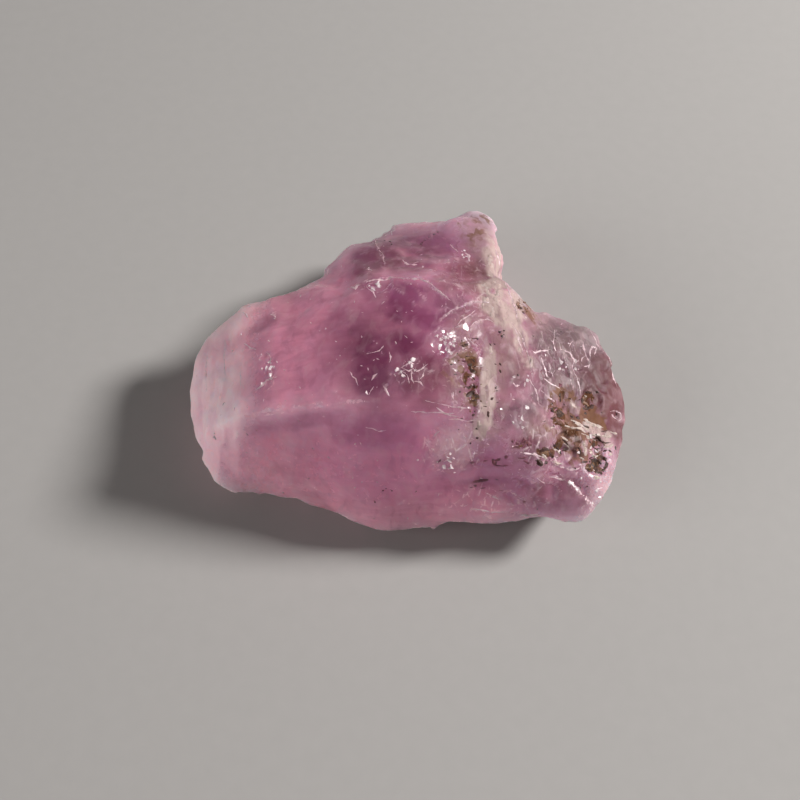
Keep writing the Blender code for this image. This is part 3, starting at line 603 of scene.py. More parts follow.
class Carving:
    """The crystal's outside while it is being shaped, in millimetres."""

    def __init__(self, mesh):
        self.corners = corners_of(mesh)
        self.faces = np.array([tuple(face.vertices) for face in mesh.polygons])
        self.edges = np.array([tuple(edge.vertices) for edge in mesh.edges])
        self.refresh()

    def refresh(self):
        """Works the normals and the places on the drawing plane out again."""
        quads = self.corners[self.faces]
        normals = np.cross(quads[:, 2] - quads[:, 0], quads[:, 3] - quads[:, 1])
        total = np.zeros_like(self.corners)
        for corner in range(4):
            for axis in range(3):
                total[:, axis] += np.bincount(self.faces[:, corner], normals[:, axis],
                                              len(total))
        self.out = unit(total + 1e-12)
        self.places = np.column_stack((self.corners[:, 0], self.corners @ UP_PLANE))
        self.lean = self.out @ OUT_OF_PLANE
        self.upper = smooth(self.lean, 0.02, 0.3)

    def bulge(self):
        """How far each corner stands out from the corners beside it."""
        total = np.zeros_like(self.corners)
        count = np.bincount(self.edges.ravel(), minlength=len(total))
        for here, there in ((0, 1), (1, 0)):
            for axis in range(3):
                beside = self.corners[self.edges[:, there], axis]
                total[:, axis] += np.bincount(self.edges[:, here], beside, len(total))
        middle = total / np.maximum(count, 1)[:, None]
        return ((self.corners - middle) * self.out).sum(axis=1)

    def free(self):
        """0 at the resting face, which stays flat, and 1 from a little above it."""
        return smooth(self.corners[:, 2], 0.05, 0.6)

    def lift(self, amount):
        """Moves the corners along their normals."""
        self.corners += self.out * (amount * self.free())[:, None]

    def swell(self, middle, reach, height):
        """Raises the outside round a place, with a long soft slope."""
        gaps = np.linalg.norm(self.corners - np.array(middle), axis=1)
        self.lift(height * (1.0 - smooth(gaps, 0.2 * reach, reach)))

    def step(self, line, height, reach):
        """A crisp step: the side to the left of the line stands up from the other."""
        gaps, sides, shares = to_line(self.places, line)
        fade = smooth(shares, 0.0, 0.12) * (1.0 - smooth(shares, 0.88, 1.0))
        raised = np.where(sides > 0, np.exp(-gaps / reach), 0.0)
        self.lift(height * raised * fade * self.upper)

    def ripples(self, middle, radii, sector, spacing, height):
        """Shell-like ribs round a point, between two radii and two angles."""
        off = self.places - np.array(middle)
        radius = np.hypot(off[:, 0], off[:, 1])
        radius = radius + 0.25 * lumps(self.corners, 2.2, 41)
        angle = np.degrees(np.arctan2(off[:, 1], off[:, 0]))
        inside = smooth(radius, radii[0], radii[0] + spacing)
        inside *= 1.0 - smooth(radius, radii[1] - spacing, radii[1])
        inside *= smooth(angle, sector[0], sector[0] + 15)
        inside *= 1.0 - smooth(angle, sector[1] - 15, sector[1])
        crest = (0.5 + 0.5 * np.cos(math.tau * radius / spacing)) ** 2
        self.lift(height * crest * inside * self.upper)

    def scoop(self, middle, half, turn, depth):
        """A shallow hollow with a crisp rim."""
        along, across = in_oval(self.places, middle, half, turn)
        inside = np.clip(1.0 - along**2 - across**2, 0.0, None)
        self.lift(-depth * inside * self.upper)

    def cut(self, point, towards, reach, most):
        """Slices the outside flat near a point, taking off no more than `most`."""
        off = self.corners - point
        height = off @ towards
        near = 1.0 - smooth(np.linalg.norm(off, axis=1), 0.8 * reach, reach)
        taken = np.clip(height, 0.0, most) * near * self.free()
        self.corners -= taken[:, None] * towards


def facet_cluster(carving, random, middle, half, count, size):
    """Small flat breaks, turned so that they catch a light from the right."""
    for _ in range(count):
        place = np.array(middle) + random.uniform(-1, 1, 2) * half
        gaps = np.hypot(*(carving.places - place).T) - FAR * (carving.lean > 0.1)
        nearest = int(np.argmin(gaps))
        normal = carving.out[nearest]
        towards = unit(normal * 0.55 + GLINT_LEAN * 0.75 + random.normal(0, 0.16, 3))
        reach = size * random.uniform(0.6, 1.3)
        carving.cut(carving.corners[nearest] - normal * 0.03, towards, reach, 0.3)


def hidden_breaks(carving, random, count):
    """Flat and curved breaks over the sides, the back and the undercut."""
    hidden = np.flatnonzero((carving.lean < 0.2) & (carving.corners[:, 2] > 0.8))
    for nearest in random.choice(hidden, count, replace=False):
        normal = carving.out[nearest]
        towards = unit(normal + random.normal(0, 0.22, 3))
        reach = random.uniform(1.2, 4.2)
        sink = random.uniform(0.03, 0.22)
        carving.cut(carving.corners[nearest] - normal * sink, towards, reach, 0.45)


def carve(carving, strength):
    """All the breaks, steps and ripples of the outside, coarse ones first."""
    random = np.random.default_rng(CARVING_SEED)
    for middle, reach, height in SWELLS:
        carving.swell(middle, reach, height)
    carving.refresh()
    hidden_breaks(carving, random, HIDDEN_BREAKS)
    carving.refresh()
    rough = 1.0 - carving.upper
    carving.lift(strength * rough * 0.06 * cloud(carving.corners, 1.6, 3))
    side = np.column_stack((carving.corners[:, 0] / 0.35, carving.corners[:, 1] / 0.35,
                            carving.corners[:, 2] / 5.0))
    carving.lift(strength * rough * 0.045 * lumps(side, 1.0, 8))
    left_end = smooth(-carving.out[:, 0], 0.25, 0.5) * smooth(-carving.corners[:, 0], 14, 17)
    stripes = np.column_stack((carving.places[:, 0] / 0.55, carving.places[:, 1] / 4.5,
                               np.zeros(len(carving.places))))
    carving.lift(strength * left_end * 0.07 * lumps(stripes, 1.0, 12))
    carving.refresh()
    for height, reach, *line in BREAKS:
        carving.step(line, strength * height, reach)
    carving.refresh()
    for middle, radii, sector, spacing, height in RIBS:
        carving.ripples(middle, radii, sector, spacing, strength * height)
    for middle, half, turn, depth in HOLLOWS:
        carving.scoop(middle, half, turn, strength * depth)
    carving.refresh()
    for middle, half, count, size in FACETS:
        facet_cluster(carving, random, middle, half, count, size)
    carving.refresh()
    clay = mask(carving, TINTS["rust"]) + 0.5 * mask(carving, TINTS["cream"])
    clay = np.clip(clay, 0, 1)
    carving.lift(strength * clay * (0.16 * cloud(carving.corners, 0.9, 15) - 0.05))
    carving.lift(strength * 0.02 * cloud(carving.corners, 2.6, 22))
    carving.corners = np.clip(carving.corners, LOW_CORNER, HIGH_CORNER)
    carving.refresh()


def mask(carving, ovals):
    """The strongest of some soft ovals at each corner of the upper faces."""
    total = np.zeros(len(carving.corners))
    for u, v, long, wide, turn, strength in ovals:
        oval = patch(carving.places, (u, v), (long, wide), turn)
        total = np.maximum(total, strength * oval)
    return total * carving.upper


def crystal_masks(carving):
    """Every tint and finish that the crystal's material reads, a number for each corner."""
    ragged = cloud(carving.corners, 2.4, 31)
    fine = cloud(carving.corners, 0.9, 35)
    hidden = 1.0 - carving.upper
    masks = {}
    for name, ovals in TINTS.items():
        raw = mask(carving, ovals)
        roughened = raw * (1.0 + 0.35 * ragged) + 0.18 * raw * fine
        masks[name] = np.clip(roughened, 0.0, 1.0)
    masks["rust"] = masks["rust"] * smooth(fine + 0.6 * ragged, -1.0, 0.1)
    masks["cream"] = smooth(masks["cream"] + 0.3 * fine, 0.25, 0.7)
    masks["tan"] = masks["tan"] * (1.0 - 0.75 * masks["cream"])
    left_end = smooth(-carving.out[:, 0], 0.15, 0.5) * smooth(-carving.corners[:, 0], 14, 18)
    low = 1.0 - 0.35 * smooth(carving.places[:, 1], -1.0, 5.0)
    low = low - 0.25 * smooth(-carving.places[:, 1], 3.0, 7.0)
    etched = left_end * low * (1.0 - 0.4 * hidden) * (0.85 + 0.2 * ragged)
    for name, ovals in CROWDS.items():
        masks[name] = mask(carving, ovals)
    # Painted highlight: corners that stand out from their neighbours, along ridges and edges, are
    # marked to be painted paler.
    masks["edge"] = smooth(carving.bulge(), 0.006, 0.03)
    right_end = hidden * smooth(carving.corners[:, 0], 3.0, 11.0)
    rim = hidden * smooth(carving.corners[:, 0], 15.5, 19.5)
    for name, more in (
        ("pale", etched),
        ("pale", hidden * smooth(-ragged, -0.4, 1.4) * 0.3),
        ("deep", hidden * smooth(ragged, -0.4, 1.4) * 0.4),
        ("lilac", right_end * (0.55 + 0.2 * ragged)),
        ("web", 0.35 * hidden),
        ("dull", np.maximum(right_end, 0.45 * hidden)),
        ("rose", rim * (0.8 + 0.3 * ragged)),
    ):
        masks[name] = np.clip(masks[name] + more, 0.0, 1.0)
    masks["shard"] = np.maximum(masks["shard"], hidden * (0.25 + 0.25 * right_end))
    masks["fleck"] = np.maximum(masks["fleck"], 0.5 * hidden)
    clean = 1.0 - 0.75 * masks["rose"]
    for name in ("web", "shard", "edge", "fleck", "pale"):
        masks[name] = masks[name] * clean
    return masks


def settled(piece):
    """Ties a finished piece to the stone's body."""
    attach(piece, BODY)
    return piece


def add_piece(name, mesh, material):
    """A new object from a mesh, at the origin, with one material."""
    piece = bpy.data.objects.new(name, mesh)
    bpy.context.scene.collection.objects.link(piece)
    mesh.materials.clear()
    mesh.materials.append(material)
    mesh.polygons.foreach_set("use_smooth", [True] * len(mesh.polygons))
    return piece


def crisp(piece):
    """Shades each face of a piece flat."""
    faces = piece.data.polygons
    faces.foreach_set("use_smooth", [False] * len(faces))
    return piece


def baked(piece):
    """Turns a piece and its modifier into a plain mesh."""
    depsgraph = bpy.context.evaluated_depsgraph_get()
    made = bpy.data.meshes.new_from_object(piece.evaluated_get(depsgraph))
    piece.modifiers.clear()
    piece.data = made
    made.name = piece.name
    return piece


def crystal_skin():
    """The crystal's finished outside, which the other pieces are laid on."""
    piece = bpy.data.objects.get(SKIN)
    if piece is None:
        raise RuntimeError("Build the crystal before the pieces that lie on it")
    return piece


class Ground:
    """Finds places on the crystal, or on pieces that cover it, from the drawing plane."""

    def __init__(self, *others):
        corners = []
        faces = []
        for name in (SKIN, *others):
            mesh = bpy.data.objects[name].data
            start = len(corners)
            corners += [corner.co for corner in mesh.vertices]
            faces += [[start + k for k in face.vertices] for face in mesh.polygons]
        self.tree = BVHTree.FromPolygons(corners, faces)

    def find(self, u, v):
        """The outside and its normal under a place on the drawing plane, or None."""
        start = np.array((u, 0.0, 0.0)) + UP_PLANE * v + OUT_OF_PLANE * RAY_START
        place, normal, _, _ = self.tree.ray_cast(Vector(start * MM), Vector(-OUT_OF_PLANE))
        if place is None:
            return None
        return np.array(place) / MM, np.array(normal)


class Shading:
    """A material being put together."""

    def __init__(self, name):
        self.material = bpy.data.materials.new(name)
        self.material.use_nodes = True
        self.tree = self.material.node_tree
        self.finish = self.tree.nodes["Principled BSDF"]
        self.output = self.tree.nodes["Material Output"]
        coordinates = self.node("ShaderNodeTexCoord")
        mapping = self.node("ShaderNodeMapping", Scale=(1 / MM, 1 / MM, 1 / MM))
        self.tree.links.new(coordinates.outputs["Object"], mapping.inputs["Vector"])
        self.place = mapping.outputs["Vector"]

    def node(self, kind, **values):
        """A node whose named inputs are set, or linked when given an output."""
        made = self.tree.nodes.new(kind)
        for name, value in values.items():
            self.put(made.inputs[name.replace("_", " ")], value)
        return made

    def put(self, socket, value):
        """Sets a socket, or links it when given another socket."""
        if isinstance(value, bpy.types.NodeSocket):
            self.tree.links.new(value, socket)
        else:
            socket.default_value = value

    def mask(self, name):
        """A number stored at each corner of the mesh."""
        made = self.node("ShaderNodeAttribute")
        made.attribute_name = name
        return made.outputs["Fac"]

    def noise(self, size, detail=2.0, distortion=0.0, stretch=(1.0, 1.0, 1.0), shift=0.0):
        """Noise whose lumps are `size` millimetres across."""
        mapping = self.node("ShaderNodeMapping", Vector=self.place, Scale=stretch,
                            Location=(shift, shift, shift))
        made = self.node("ShaderNodeTexNoise", Vector=mapping.outputs["Vector"],
                         Scale=1.0 / size, Detail=detail, Distortion=distortion)
        return made.outputs["Fac"]

    def vector_maths(self, operation, first, second):
        """A sum, product or other step between places or directions."""
        made = self.tree.nodes.new("ShaderNodeVectorMath")
        made.operation = operation
        self.put(made.inputs[0], first)
        self.put(made.inputs[1], second)
        return made

    def maths(self, operation, first, second=0.0, third=0.0):
        """A sum, product or other step between numbers."""
        made = self.tree.nodes.new("ShaderNodeMath")
        made.operation = operation
        for socket, value in zip(made.inputs, (first, second, third)):
            self.put(socket, value)
        return made.outputs["Value"]

    def product(self, first, *others):
        """Numbers multiplied together."""
        for other in others:
            first = self.maths("MULTIPLY", first, other)
        return first

    def strongest(self, first, *others):
        """The largest of some numbers."""
        for other in others:
            first = self.maths("MAXIMUM", first, other)
        return first

    def ramp(self, value, low, high, start=0.0, end=1.0):
        """Fits a number from one range to another, with a soft slope."""
        made = self.node("ShaderNodeMapRange", Value=value, From_Min=low, From_Max=high,
                         To_Min=start, To_Max=end)
        made.interpolation_type = "SMOOTHSTEP"
        return made.outputs["Result"]

    def blend(self, factor, first, second, kind="MIX"):
        """The first colour turning into the second, or into their product."""
        made = self.tree.nodes.new("ShaderNodeMix")
        made.data_type = "RGBA"
        made.blend_type = kind
        self.put(made.inputs[0], factor)
        self.put(made.inputs[6], first)
        self.put(made.inputs[7], second)
        return made.outputs[2]

    def veins(self, size, width, shift):
        """1 on broken straight cracks and 0 between them."""
        mapping = self.node("ShaderNodeMapping", Vector=self.place, Rotation=(0.4, 0.2, shift),
                            Location=(shift, shift, shift), Scale=(1.0, 0.5, 0.6))
        cells = self.node("ShaderNodeTexVoronoi", Vector=mapping.outputs["Vector"],
                          Scale=1.0 / size)
        cells.feature = "DISTANCE_TO_EDGE"
        line = self.ramp(cells.outputs["Distance"], 0.0, width / size, 1.0, 0.0)
        gaps = self.ramp(self.noise(size * 0.7, 2.0, 0.2, shift=shift), 0.44, 0.6)
        return self.product(line, gaps)

    def shards(self, size, turn, stretch):
        """Flat tilted breaks: their height in millimetres and a number for each."""
        turned = self.node("ShaderNodeMapping", Vector=self.place, Rotation=turn)
        mapping = self.node("ShaderNodeMapping", Vector=turned.outputs["Vector"], Scale=stretch)
        cells = self.node("ShaderNodeTexVoronoi", Vector=mapping.outputs["Vector"],
                          Scale=1.0 / size)
        off = self.vector_maths("SUBTRACT", mapping.outputs["Vector"], cells.outputs["Position"])
        way = self.vector_maths("SUBTRACT", cells.outputs["Color"], (0.5, 0.5, 0.5))
        tilt = self.vector_maths("DOT_PRODUCT", off.outputs["Vector"], way.outputs["Vector"])
        parts = self.node("ShaderNodeSeparateColor", Color=cells.outputs["Color"])
        return tilt.outputs["Value"], parts.outputs["Green"]

    def bump(self, height, strength, distance, under=None):
        """Fine relief on the finish, over coarser relief when there is some."""
        made = self.node("ShaderNodeBump", Height=height, Strength=strength,
                         Distance=distance * MM)
        if under is not None:
            self.put(made.inputs["Normal"], under)
        self.put(self.finish.inputs["Normal"], made.outputs["Normal"])
        return made.outputs["Normal"]

    def finished(self, **values):
        """Sets the finish's named inputs, or links them when given outputs."""
        for name, value in values.items():
            self.put(self.finish.inputs[name.replace("_", " ")], value)


def rgba(colour, factor=1.0):
    """A colour setting as four numbers, made lighter or darker."""
    return (*(min(1.0, channel * factor) for channel in colour), 1.0)


def crystal_tints(shading, mask, settings):
    """The crystal's broad colours, from its milky body to its rose rim."""
    clouds = shading.noise(3.2, 4.0, 0.4)
    colour = shading.blend(shading.ramp(clouds, 0.3, 0.7),
                           rgba(settings.body_colour, 0.88), rgba(settings.body_colour, 1.1))
    for name, tint in (("violet", settings.violet_colour), ("deep", settings.core_colour),
                       ("lilac", settings.lilac_colour), ("ash", settings.ash_colour),
                       ("haze", settings.haze_colour), ("grey", settings.grey_colour),
                       ("rose", settings.rose_colour)):
        colour = shading.blend(mask[name], colour, rgba(tint))
    return colour


def crystal_breaks(shading, shard, settings, colour):
    """Tilted breaks with painted light and painted shade by turns: colour, relief and a number for
    each break.
    """
    coarse, pick = shading.shards(1.5, (0.0, 0.0, 0.25), (1.0, 0.28, 0.36))
    small, small_pick = shading.shards(0.6, (0.3, 0.0, -0.4), (1.0, 0.6, 0.7))
    # Painted light on the pale breaks, then painted shade on the dark ones.
    light = shading.product(shading.ramp(pick, 0.6, 0.9, 0.0, 0.14), shard)
    colour = shading.blend(light, colour, rgba(settings.frost_colour, 0.6))
    dark = shading.product(shading.ramp(pick, 0.1, 0.45, 0.9, 0.0), shard)
    colour = shading.blend(dark, colour, BREAK_SHADE, "MULTIPLY")
    light = shading.product(shading.ramp(small_pick, 0.8, 0.9, 0.0, 0.22), shard)
    colour = shading.blend(light, colour, rgba(settings.frost_colour, 0.7))
    relief = shading.product(shading.maths("MULTIPLY_ADD", small, 0.8, coarse), shard)
    return colour, relief, small_pick


def crystal_mottle(shading, settings, colour):
    """Fine pale and dark mottling, and painted shade in long streaks for shallow grooves along the
    stone.
    """
    mottle = shading.noise(1.1, 4.0, 0.6, (1.0, 0.6, 0.7), 2.0)
    colour = shading.blend(shading.ramp(mottle, 0.5, 0.7, 0.0, 0.18), colour,
                           rgba(settings.pale_colour, 0.7))
    colour = shading.blend(shading.ramp(mottle, 0.3, 0.48, 0.2, 0.0), colour,
                           rgba(settings.core_colour))
    # The grooves have no relief: they are only painted shade in long streaks.
    grooves = shading.noise(0.8, 4.0, 0.4, (0.16, 1.0, 1.0), 8.0)
    return shading.blend(shading.ramp(grooves, 0.4, 0.62, 0.26, 0.0), colour, GROOVE_SHADE,
                         "MULTIPLY")


def crystal_marks(shading, mask, fine, pick):
    """How strongly each kind of mark lies on the crystal."""
    stripes = shading.noise(0.8, 3.0, 0.2, (1.0, 0.4, 0.5))
    wide = shading.product(shading.veins(1.7, 0.11, 3.0), 0.95)
    thin = shading.product(shading.veins(0.8, 0.07, 11.0), 0.7)
    webs = shading.strongest(wide, thin)
    streaks = shading.noise(0.5, 4.0, 0.3, (1.0, 0.22, 0.4), 6.0)
    bits = shading.maths("MULTIPLY_ADD", pick, 0.6, shading.product(fine, 0.8))
    tan = shading.maths("MULTIPLY_ADD", mask["tan"], 0.7, shading.product(bits, 0.6))
    rust = shading.maths("MULTIPLY_ADD", mask["rust"], 0.9, shading.product(bits, 0.5))
    return {
        "pale": shading.product(mask["pale"], shading.ramp(stripes, 0.35, 0.62, 0.84, 1.0)),
        "webs": shading.product(webs, shading.ramp(fine, 0.35, 0.6), mask["web"]),
        # Painted highlight along ridges and edges.
        "edge": shading.product(mask["edge"], shading.ramp(fine, 0.3, 0.65, 0.0, 0.35)),
        "cream": shading.product(mask["cream"], shading.ramp(streaks, 0.36, 0.56, 0.5, 0.95)),
        "tan": shading.ramp(tan, 0.62, 0.95, 0.0, 0.85),
        "rust": shading.ramp(rust, 0.72, 0.95, 0.0, 0.95),
    }


def crystal_material(settings):
    """Milky pink crystal that turns clear and violet towards its middle."""
    shading = Shading("milky_kunzite")
    mask = {name: shading.mask(name) for name in
            (*TINTS, "edge", "web", "dull", "clear", "shard")}
    fine = shading.noise(0.7, 4.0, 0.3, shift=7.0)
    colour = crystal_tints(shading, mask, settings)
    colour, broken, pick = crystal_breaks(shading, mask["shard"], settings, colour)
    colour = crystal_mottle(shading, settings, colour)
    marks = crystal_marks(shading, mask, fine, pick)
    # The edge mark paints a highlight: a paler colour along ridges and edges.
    for name, tint in (("pale", rgba(settings.pale_colour)), ("webs", rgba(settings.frost_colour)),
                       ("edge", rgba(settings.pale_colour, 1.1)),
                       ("cream", rgba(settings.cream_colour)), ("tan", rgba(settings.tan_colour)),
                       ("rust", rgba(settings.rust_colour))):
        colour = shading.blend(marks[name], colour, tint)
    cover = shading.strongest(*marks.values())
    clear = shading.product(
        shading.ramp(cover, 0.0, 0.8, 1.0, 0.1),
        shading.maths("MULTIPLY_ADD", mask["clear"], settings.clarity, settings.clarity * 0.6))
    polish = shading.ramp(fine, 0.3, 0.7, settings.roughness * 0.75, settings.roughness * 1.3)
    dull = shading.maths("MULTIPLY_ADD", cover, 0.3, polish)
    dull = shading.maths("MULTIPLY_ADD", mask["dull"], 0.36, dull)
    milk = shading.strongest(*(marks[name] for name in ("webs", "cream", "rust", "tan", "edge")))
    milk = shading.product(
        shading.ramp(milk, 0.1, 0.8, settings.milkiness, 0.15),
        shading.ramp(mask["dull"], 0.0, 1.0, 1.0, 0.35),
        shading.ramp(mask["rose"], 0.0, 1.0, 1.0, 0.2))
    shading.finish.subsurface_method = "RANDOM_WALK_SKIN"
    shading.finished(Base_Color=colour, Transmission_Weight=clear, Roughness=dull,
                     Subsurface_Weight=milk, Subsurface_Radius=settings.glow_radius,
                     Subsurface_Scale=MM, Subsurface_IOR=CRYSTAL_IOR, IOR=CRYSTAL_IOR,
                     Specular_IOR_Level=CRYSTAL_SHINE)
    relief = shading.bump(broken, 1.0, 0.8)
    grain = shading.maths("MULTIPLY_ADD", fine, 0.5, shading.noise(0.22, 3.0, shift=5.0))
    shading.bump(grain, 0.22, 0.08, relief)
    inside = shading.node("ShaderNodeVolumeAbsorption", Density=settings.absorption_density,
                          Color=rgba(settings.absorption_colour))
    shading.put(shading.output.inputs["Volume"], inside.outputs["Volume"])
    return shading.material


def build_crystal(settings):
    """The crystal's outside: the solid's shape with its finer breaks carved in."""
    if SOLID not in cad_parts:
        raise RuntimeError("The frame has no solid named " + SOLID)
    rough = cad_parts[SOLID].data.copy()
    work = bmesh.new()
    work.from_mesh(rough)
    bmesh.ops.remove_doubles(work, verts=work.verts, dist=0.001 * MM)
    work.to_mesh(rough)
    work.free()
    material = crystal_material(settings)
    skin = add_piece(SKIN, rough, material)
    remesh = skin.modifiers.new("even_mesh", "REMESH")
    remesh.mode = "VOXEL"
    remesh.voxel_size = settings.mesh_size
    skin = baked(skin)
    mesh = skin.data
    carving = Carving(mesh)
    resting = carving.corners[:, 2] < RESTING_HEIGHT
    carving.corners[resting, 2] = 0.0
    carve(carving, settings.relief)
    for name, values in crystal_masks(carving).items():
        stored = mesh.attributes.new(name, "FLOAT", "POINT")
        stored.data.foreach_set("value", values.astype(np.float32))
    mesh.polygons.foreach_set("use_smooth", [True] * len(mesh.polygons))
    put_back(mesh, carving.corners)
    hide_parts(SOLID)
    return settled(skin)


def mesh_from(name, work):
    """A mesh from a finished bmesh, with its faces turned outward."""
    bmesh.ops.recalc_face_normals(work, faces=work.faces)
    mesh = bpy.data.meshes.new(name)
    for corner in work.verts:
        corner.co *= MM
    work.to_mesh(mesh)
    work.free()
    return mesh


def frost_material(name, colour, clear, roughness):
    """Whitish healed crystal, partly see-through, with grainy patches."""
    shading = Shading(name)
    grain = shading.noise(0.35, 3.0, 0.3)
    mixed = shading.blend(shading.ramp(grain, 0.3, 0.7), rgba(colour, 0.75), rgba(colour, 1.1))
    clear_part = shading.ramp(grain, 0.3, 0.7, clear, clear * 0.4)
    dull = shading.ramp(grain, 0.3, 0.7, roughness, roughness * 1.6)
    shading.finished(Base_Color=mixed, Transmission_Weight=clear_part, Roughness=dull,
                     IOR=FROST_IOR, Subsurface_Weight=0.3,
                     Subsurface_Radius=(0.5, 0.35, 0.4), Subsurface_Scale=MM)
    shading.bump(shading.noise(0.12, 2.0), 0.2, 0.03)
    return shading.material


def resampled(line, spacing):
    """The line with places added so that none are further apart than the spacing."""
    line = np.array(line)
    places = [line[0]]
    for start, end in zip(line, line[1:]):
        count = max(1, math.ceil(np.hypot(*(end - start)) / spacing))
        places += [start + (end - start) * k / count for k in range(1, count + 1)]
    return np.array(places)


def add_ribbon(work, ground, random, half_width, height, line, dive):
    """A thin wandering blade along a line, draped on the outside and sunk into it."""
    flats = []
    spots = []
    wander = random.uniform(0, 50)
    reach = np.hypot(*(np.array(line[-1]) - np.array(line[0])))
    for u, v in resampled(line, min(RING_SPACING, reach / 3)):
        probe = np.array(((u, v, wander),))
        shift = 0.08 * lumps(probe, 0.5, 5)[0] + 0.04 * lumps(probe, 0.2, 6)[0]
        flat = np.array((u + shift, v + shift * 0.6))
        found = ground.find(*flat)
        if found is not None:
            flats.append(flat)
            spots.append(found)
    if len(spots) < 3:
        return
    ways = unit(np.gradient(np.array(flats), axis=0) + 1e-9)
    places = np.array([place for place, _ in spots])
    normals = np.array([normal for _, normal in spots])
    tangents = unit(np.gradient(places, axis=0))
    rings = []
    for index, (place, normal, tangent) in enumerate(zip(places, normals, tangents)):
        share = index / (len(places) - 1)
        taper = math.sin(math.pi * (0.06 + 0.88 * share)) ** 0.6
        uneven = lumps(place[None] + wander, 0.32, 9) + 0.6 * lumps(place[None] + wander, 0.14, 10)
        swell = np.clip(1.0 + 0.9 * uneven[0], 0.15, 1.6)
        half = half_width * taper * swell
        across = np.array((-ways[index][1], ways[index][0])) * half
        side = np.cross(normal, tangent) * half
        edges = []
        for sign in (1.0, -1.0):
            edge = place + sign * side
            found = ground.find(*(flats[index] + sign * across))
            if found is not None and np.linalg.norm(found[0] - place) < 2.0 * half + 0.1:
                edge = found[0]
            edges.append(edge - normal * EDGE_SINK)
        top = normal * height * taper * swell
        root = normal * dive * taper * (1.0 + 0.5 * lumps(place[None], 0.8, 4)[0])
        ring = (edges[0], place + top + side * 0.2, edges[1], place - root)
        rings.append([work.verts.new(np.clip(spot, LOW_CORNER, HIGH_CORNER)) for spot in ring])
    for first, second in zip(rings, rings[1:]):
        for k in range(4):
            after = (k + 1) % 4
            work.faces.new((first[k], first[after], second[after], second[k]))
    work.faces.new(rings[0])
    work.faces.new(rings[-1])


def ribbons(name, table, width, rise, dive, ground, material):
    """One flat-faced piece made of a blade for each line of a table."""
    random = np.random.default_rng(STROKE_SEED)
    work = bmesh.new()
    for share, *line in table:
        half_width = share * width
        add_ribbon(work, ground, random, half_width, half_width * rise, line, dive)
    return crisp(add_piece(name, mesh_from(name, work), material))


def build_fractures(settings):
    """Healed fractures: pale blades that follow the outside and dive into the stone."""
    crystal_skin()
    material = frost_material("healed_frost", settings.colour, 0.3, 0.34)
    piece = ribbons("healed_fractures", FRACTURES, settings.width, settings.rise,
                    settings.dive / MM, Ground(), material)
    return settled(piece)


def build_cracks(settings):
    """Dark cracks, mauve cracks and the cream blades that lie between them."""
    for name in ("cream_vein", "clay_fill"):
        if name not in bpy.data.objects:
            raise RuntimeError("Build the vein and the clay before the cracks")
    ground = Ground("cream_vein", "clay_fill")
    material = frost_material("cream_blade", settings.blade_colour, 0.08, 0.45)
    blades = ribbons("cream_blades", CREAM_BLADES, settings.width, CRACK_RISE, CRACK_DIVE,
                     ground, material)
    settled(blades)
    for name, table, colour, width, slot in (
        ("dark_cracks", DARK_CRACKS, settings.dark_colour, 1.0, "iron_clay"),
        ("mauve_cracks", MAUVE_CRACKS, settings.mauve_colour, 1.5, "kunzite"),
    ):
        shading = Shading(name)
        grain = shading.noise(0.25, 3.0, 0.3)
        mixed = shading.blend(shading.ramp(grain, 0.35, 0.7), rgba(colour, 0.7), rgba(colour, 1.5))
        dull = shading.ramp(grain, 0.3, 0.7, 0.4, 0.8)
        shading.finished(Base_Color=mixed, Roughness=dull, IOR=CLAY_IOR)
        shading.bump(grain, 0.4, 0.05)
        piece = ribbons(name, table, settings.width * width, CRACK_RISE, CRACK_DIVE, ground,
                        shading.material)
        settled(piece)


def build_veils(settings):
    """Cloudy veils sealed inside the crystal: thin wavy closed leaves."""
    ground = Ground()
    work = bmesh.new()
    for number, (middle, depth, half, turn, tilt) in enumerate(VEILS):
        found = ground.find(*middle)
        if found is None:
            raise RuntimeError("A veil lies outside the crystal")
        place, normal = found
        frame_turn = Matrix.Rotation(math.radians(turn), 3, "Z")
        frame_tilt = Matrix.Rotation(math.radians(tilt), 3, "X")
        facing = Vector(normal).to_track_quat("Z", "Y").to_matrix()
        spin = np.array(facing @ frame_turn @ frame_tilt)
        centre = place - normal * depth
        add_leaf(work, centre, spin, half, settings.thickness / MM, number)
    mesh = mesh_from("inner_veils", work)
    shading = Shading("cloudy_veil")
    grain = shading.noise(0.8, 4.0, 0.8)
    mixed = shading.blend(grain, rgba(settings.colour, 0.7), rgba(settings.colour, 1.1))
    thin = shading.ramp(grain, 0.42, 0.72, 0.0, 0.5)
    shading.finished(Base_Color=mixed, Alpha=thin, Roughness=0.45, IOR=CRYSTAL_IOR)
    return settled(add_piece("inner_veils", mesh, shading.material))


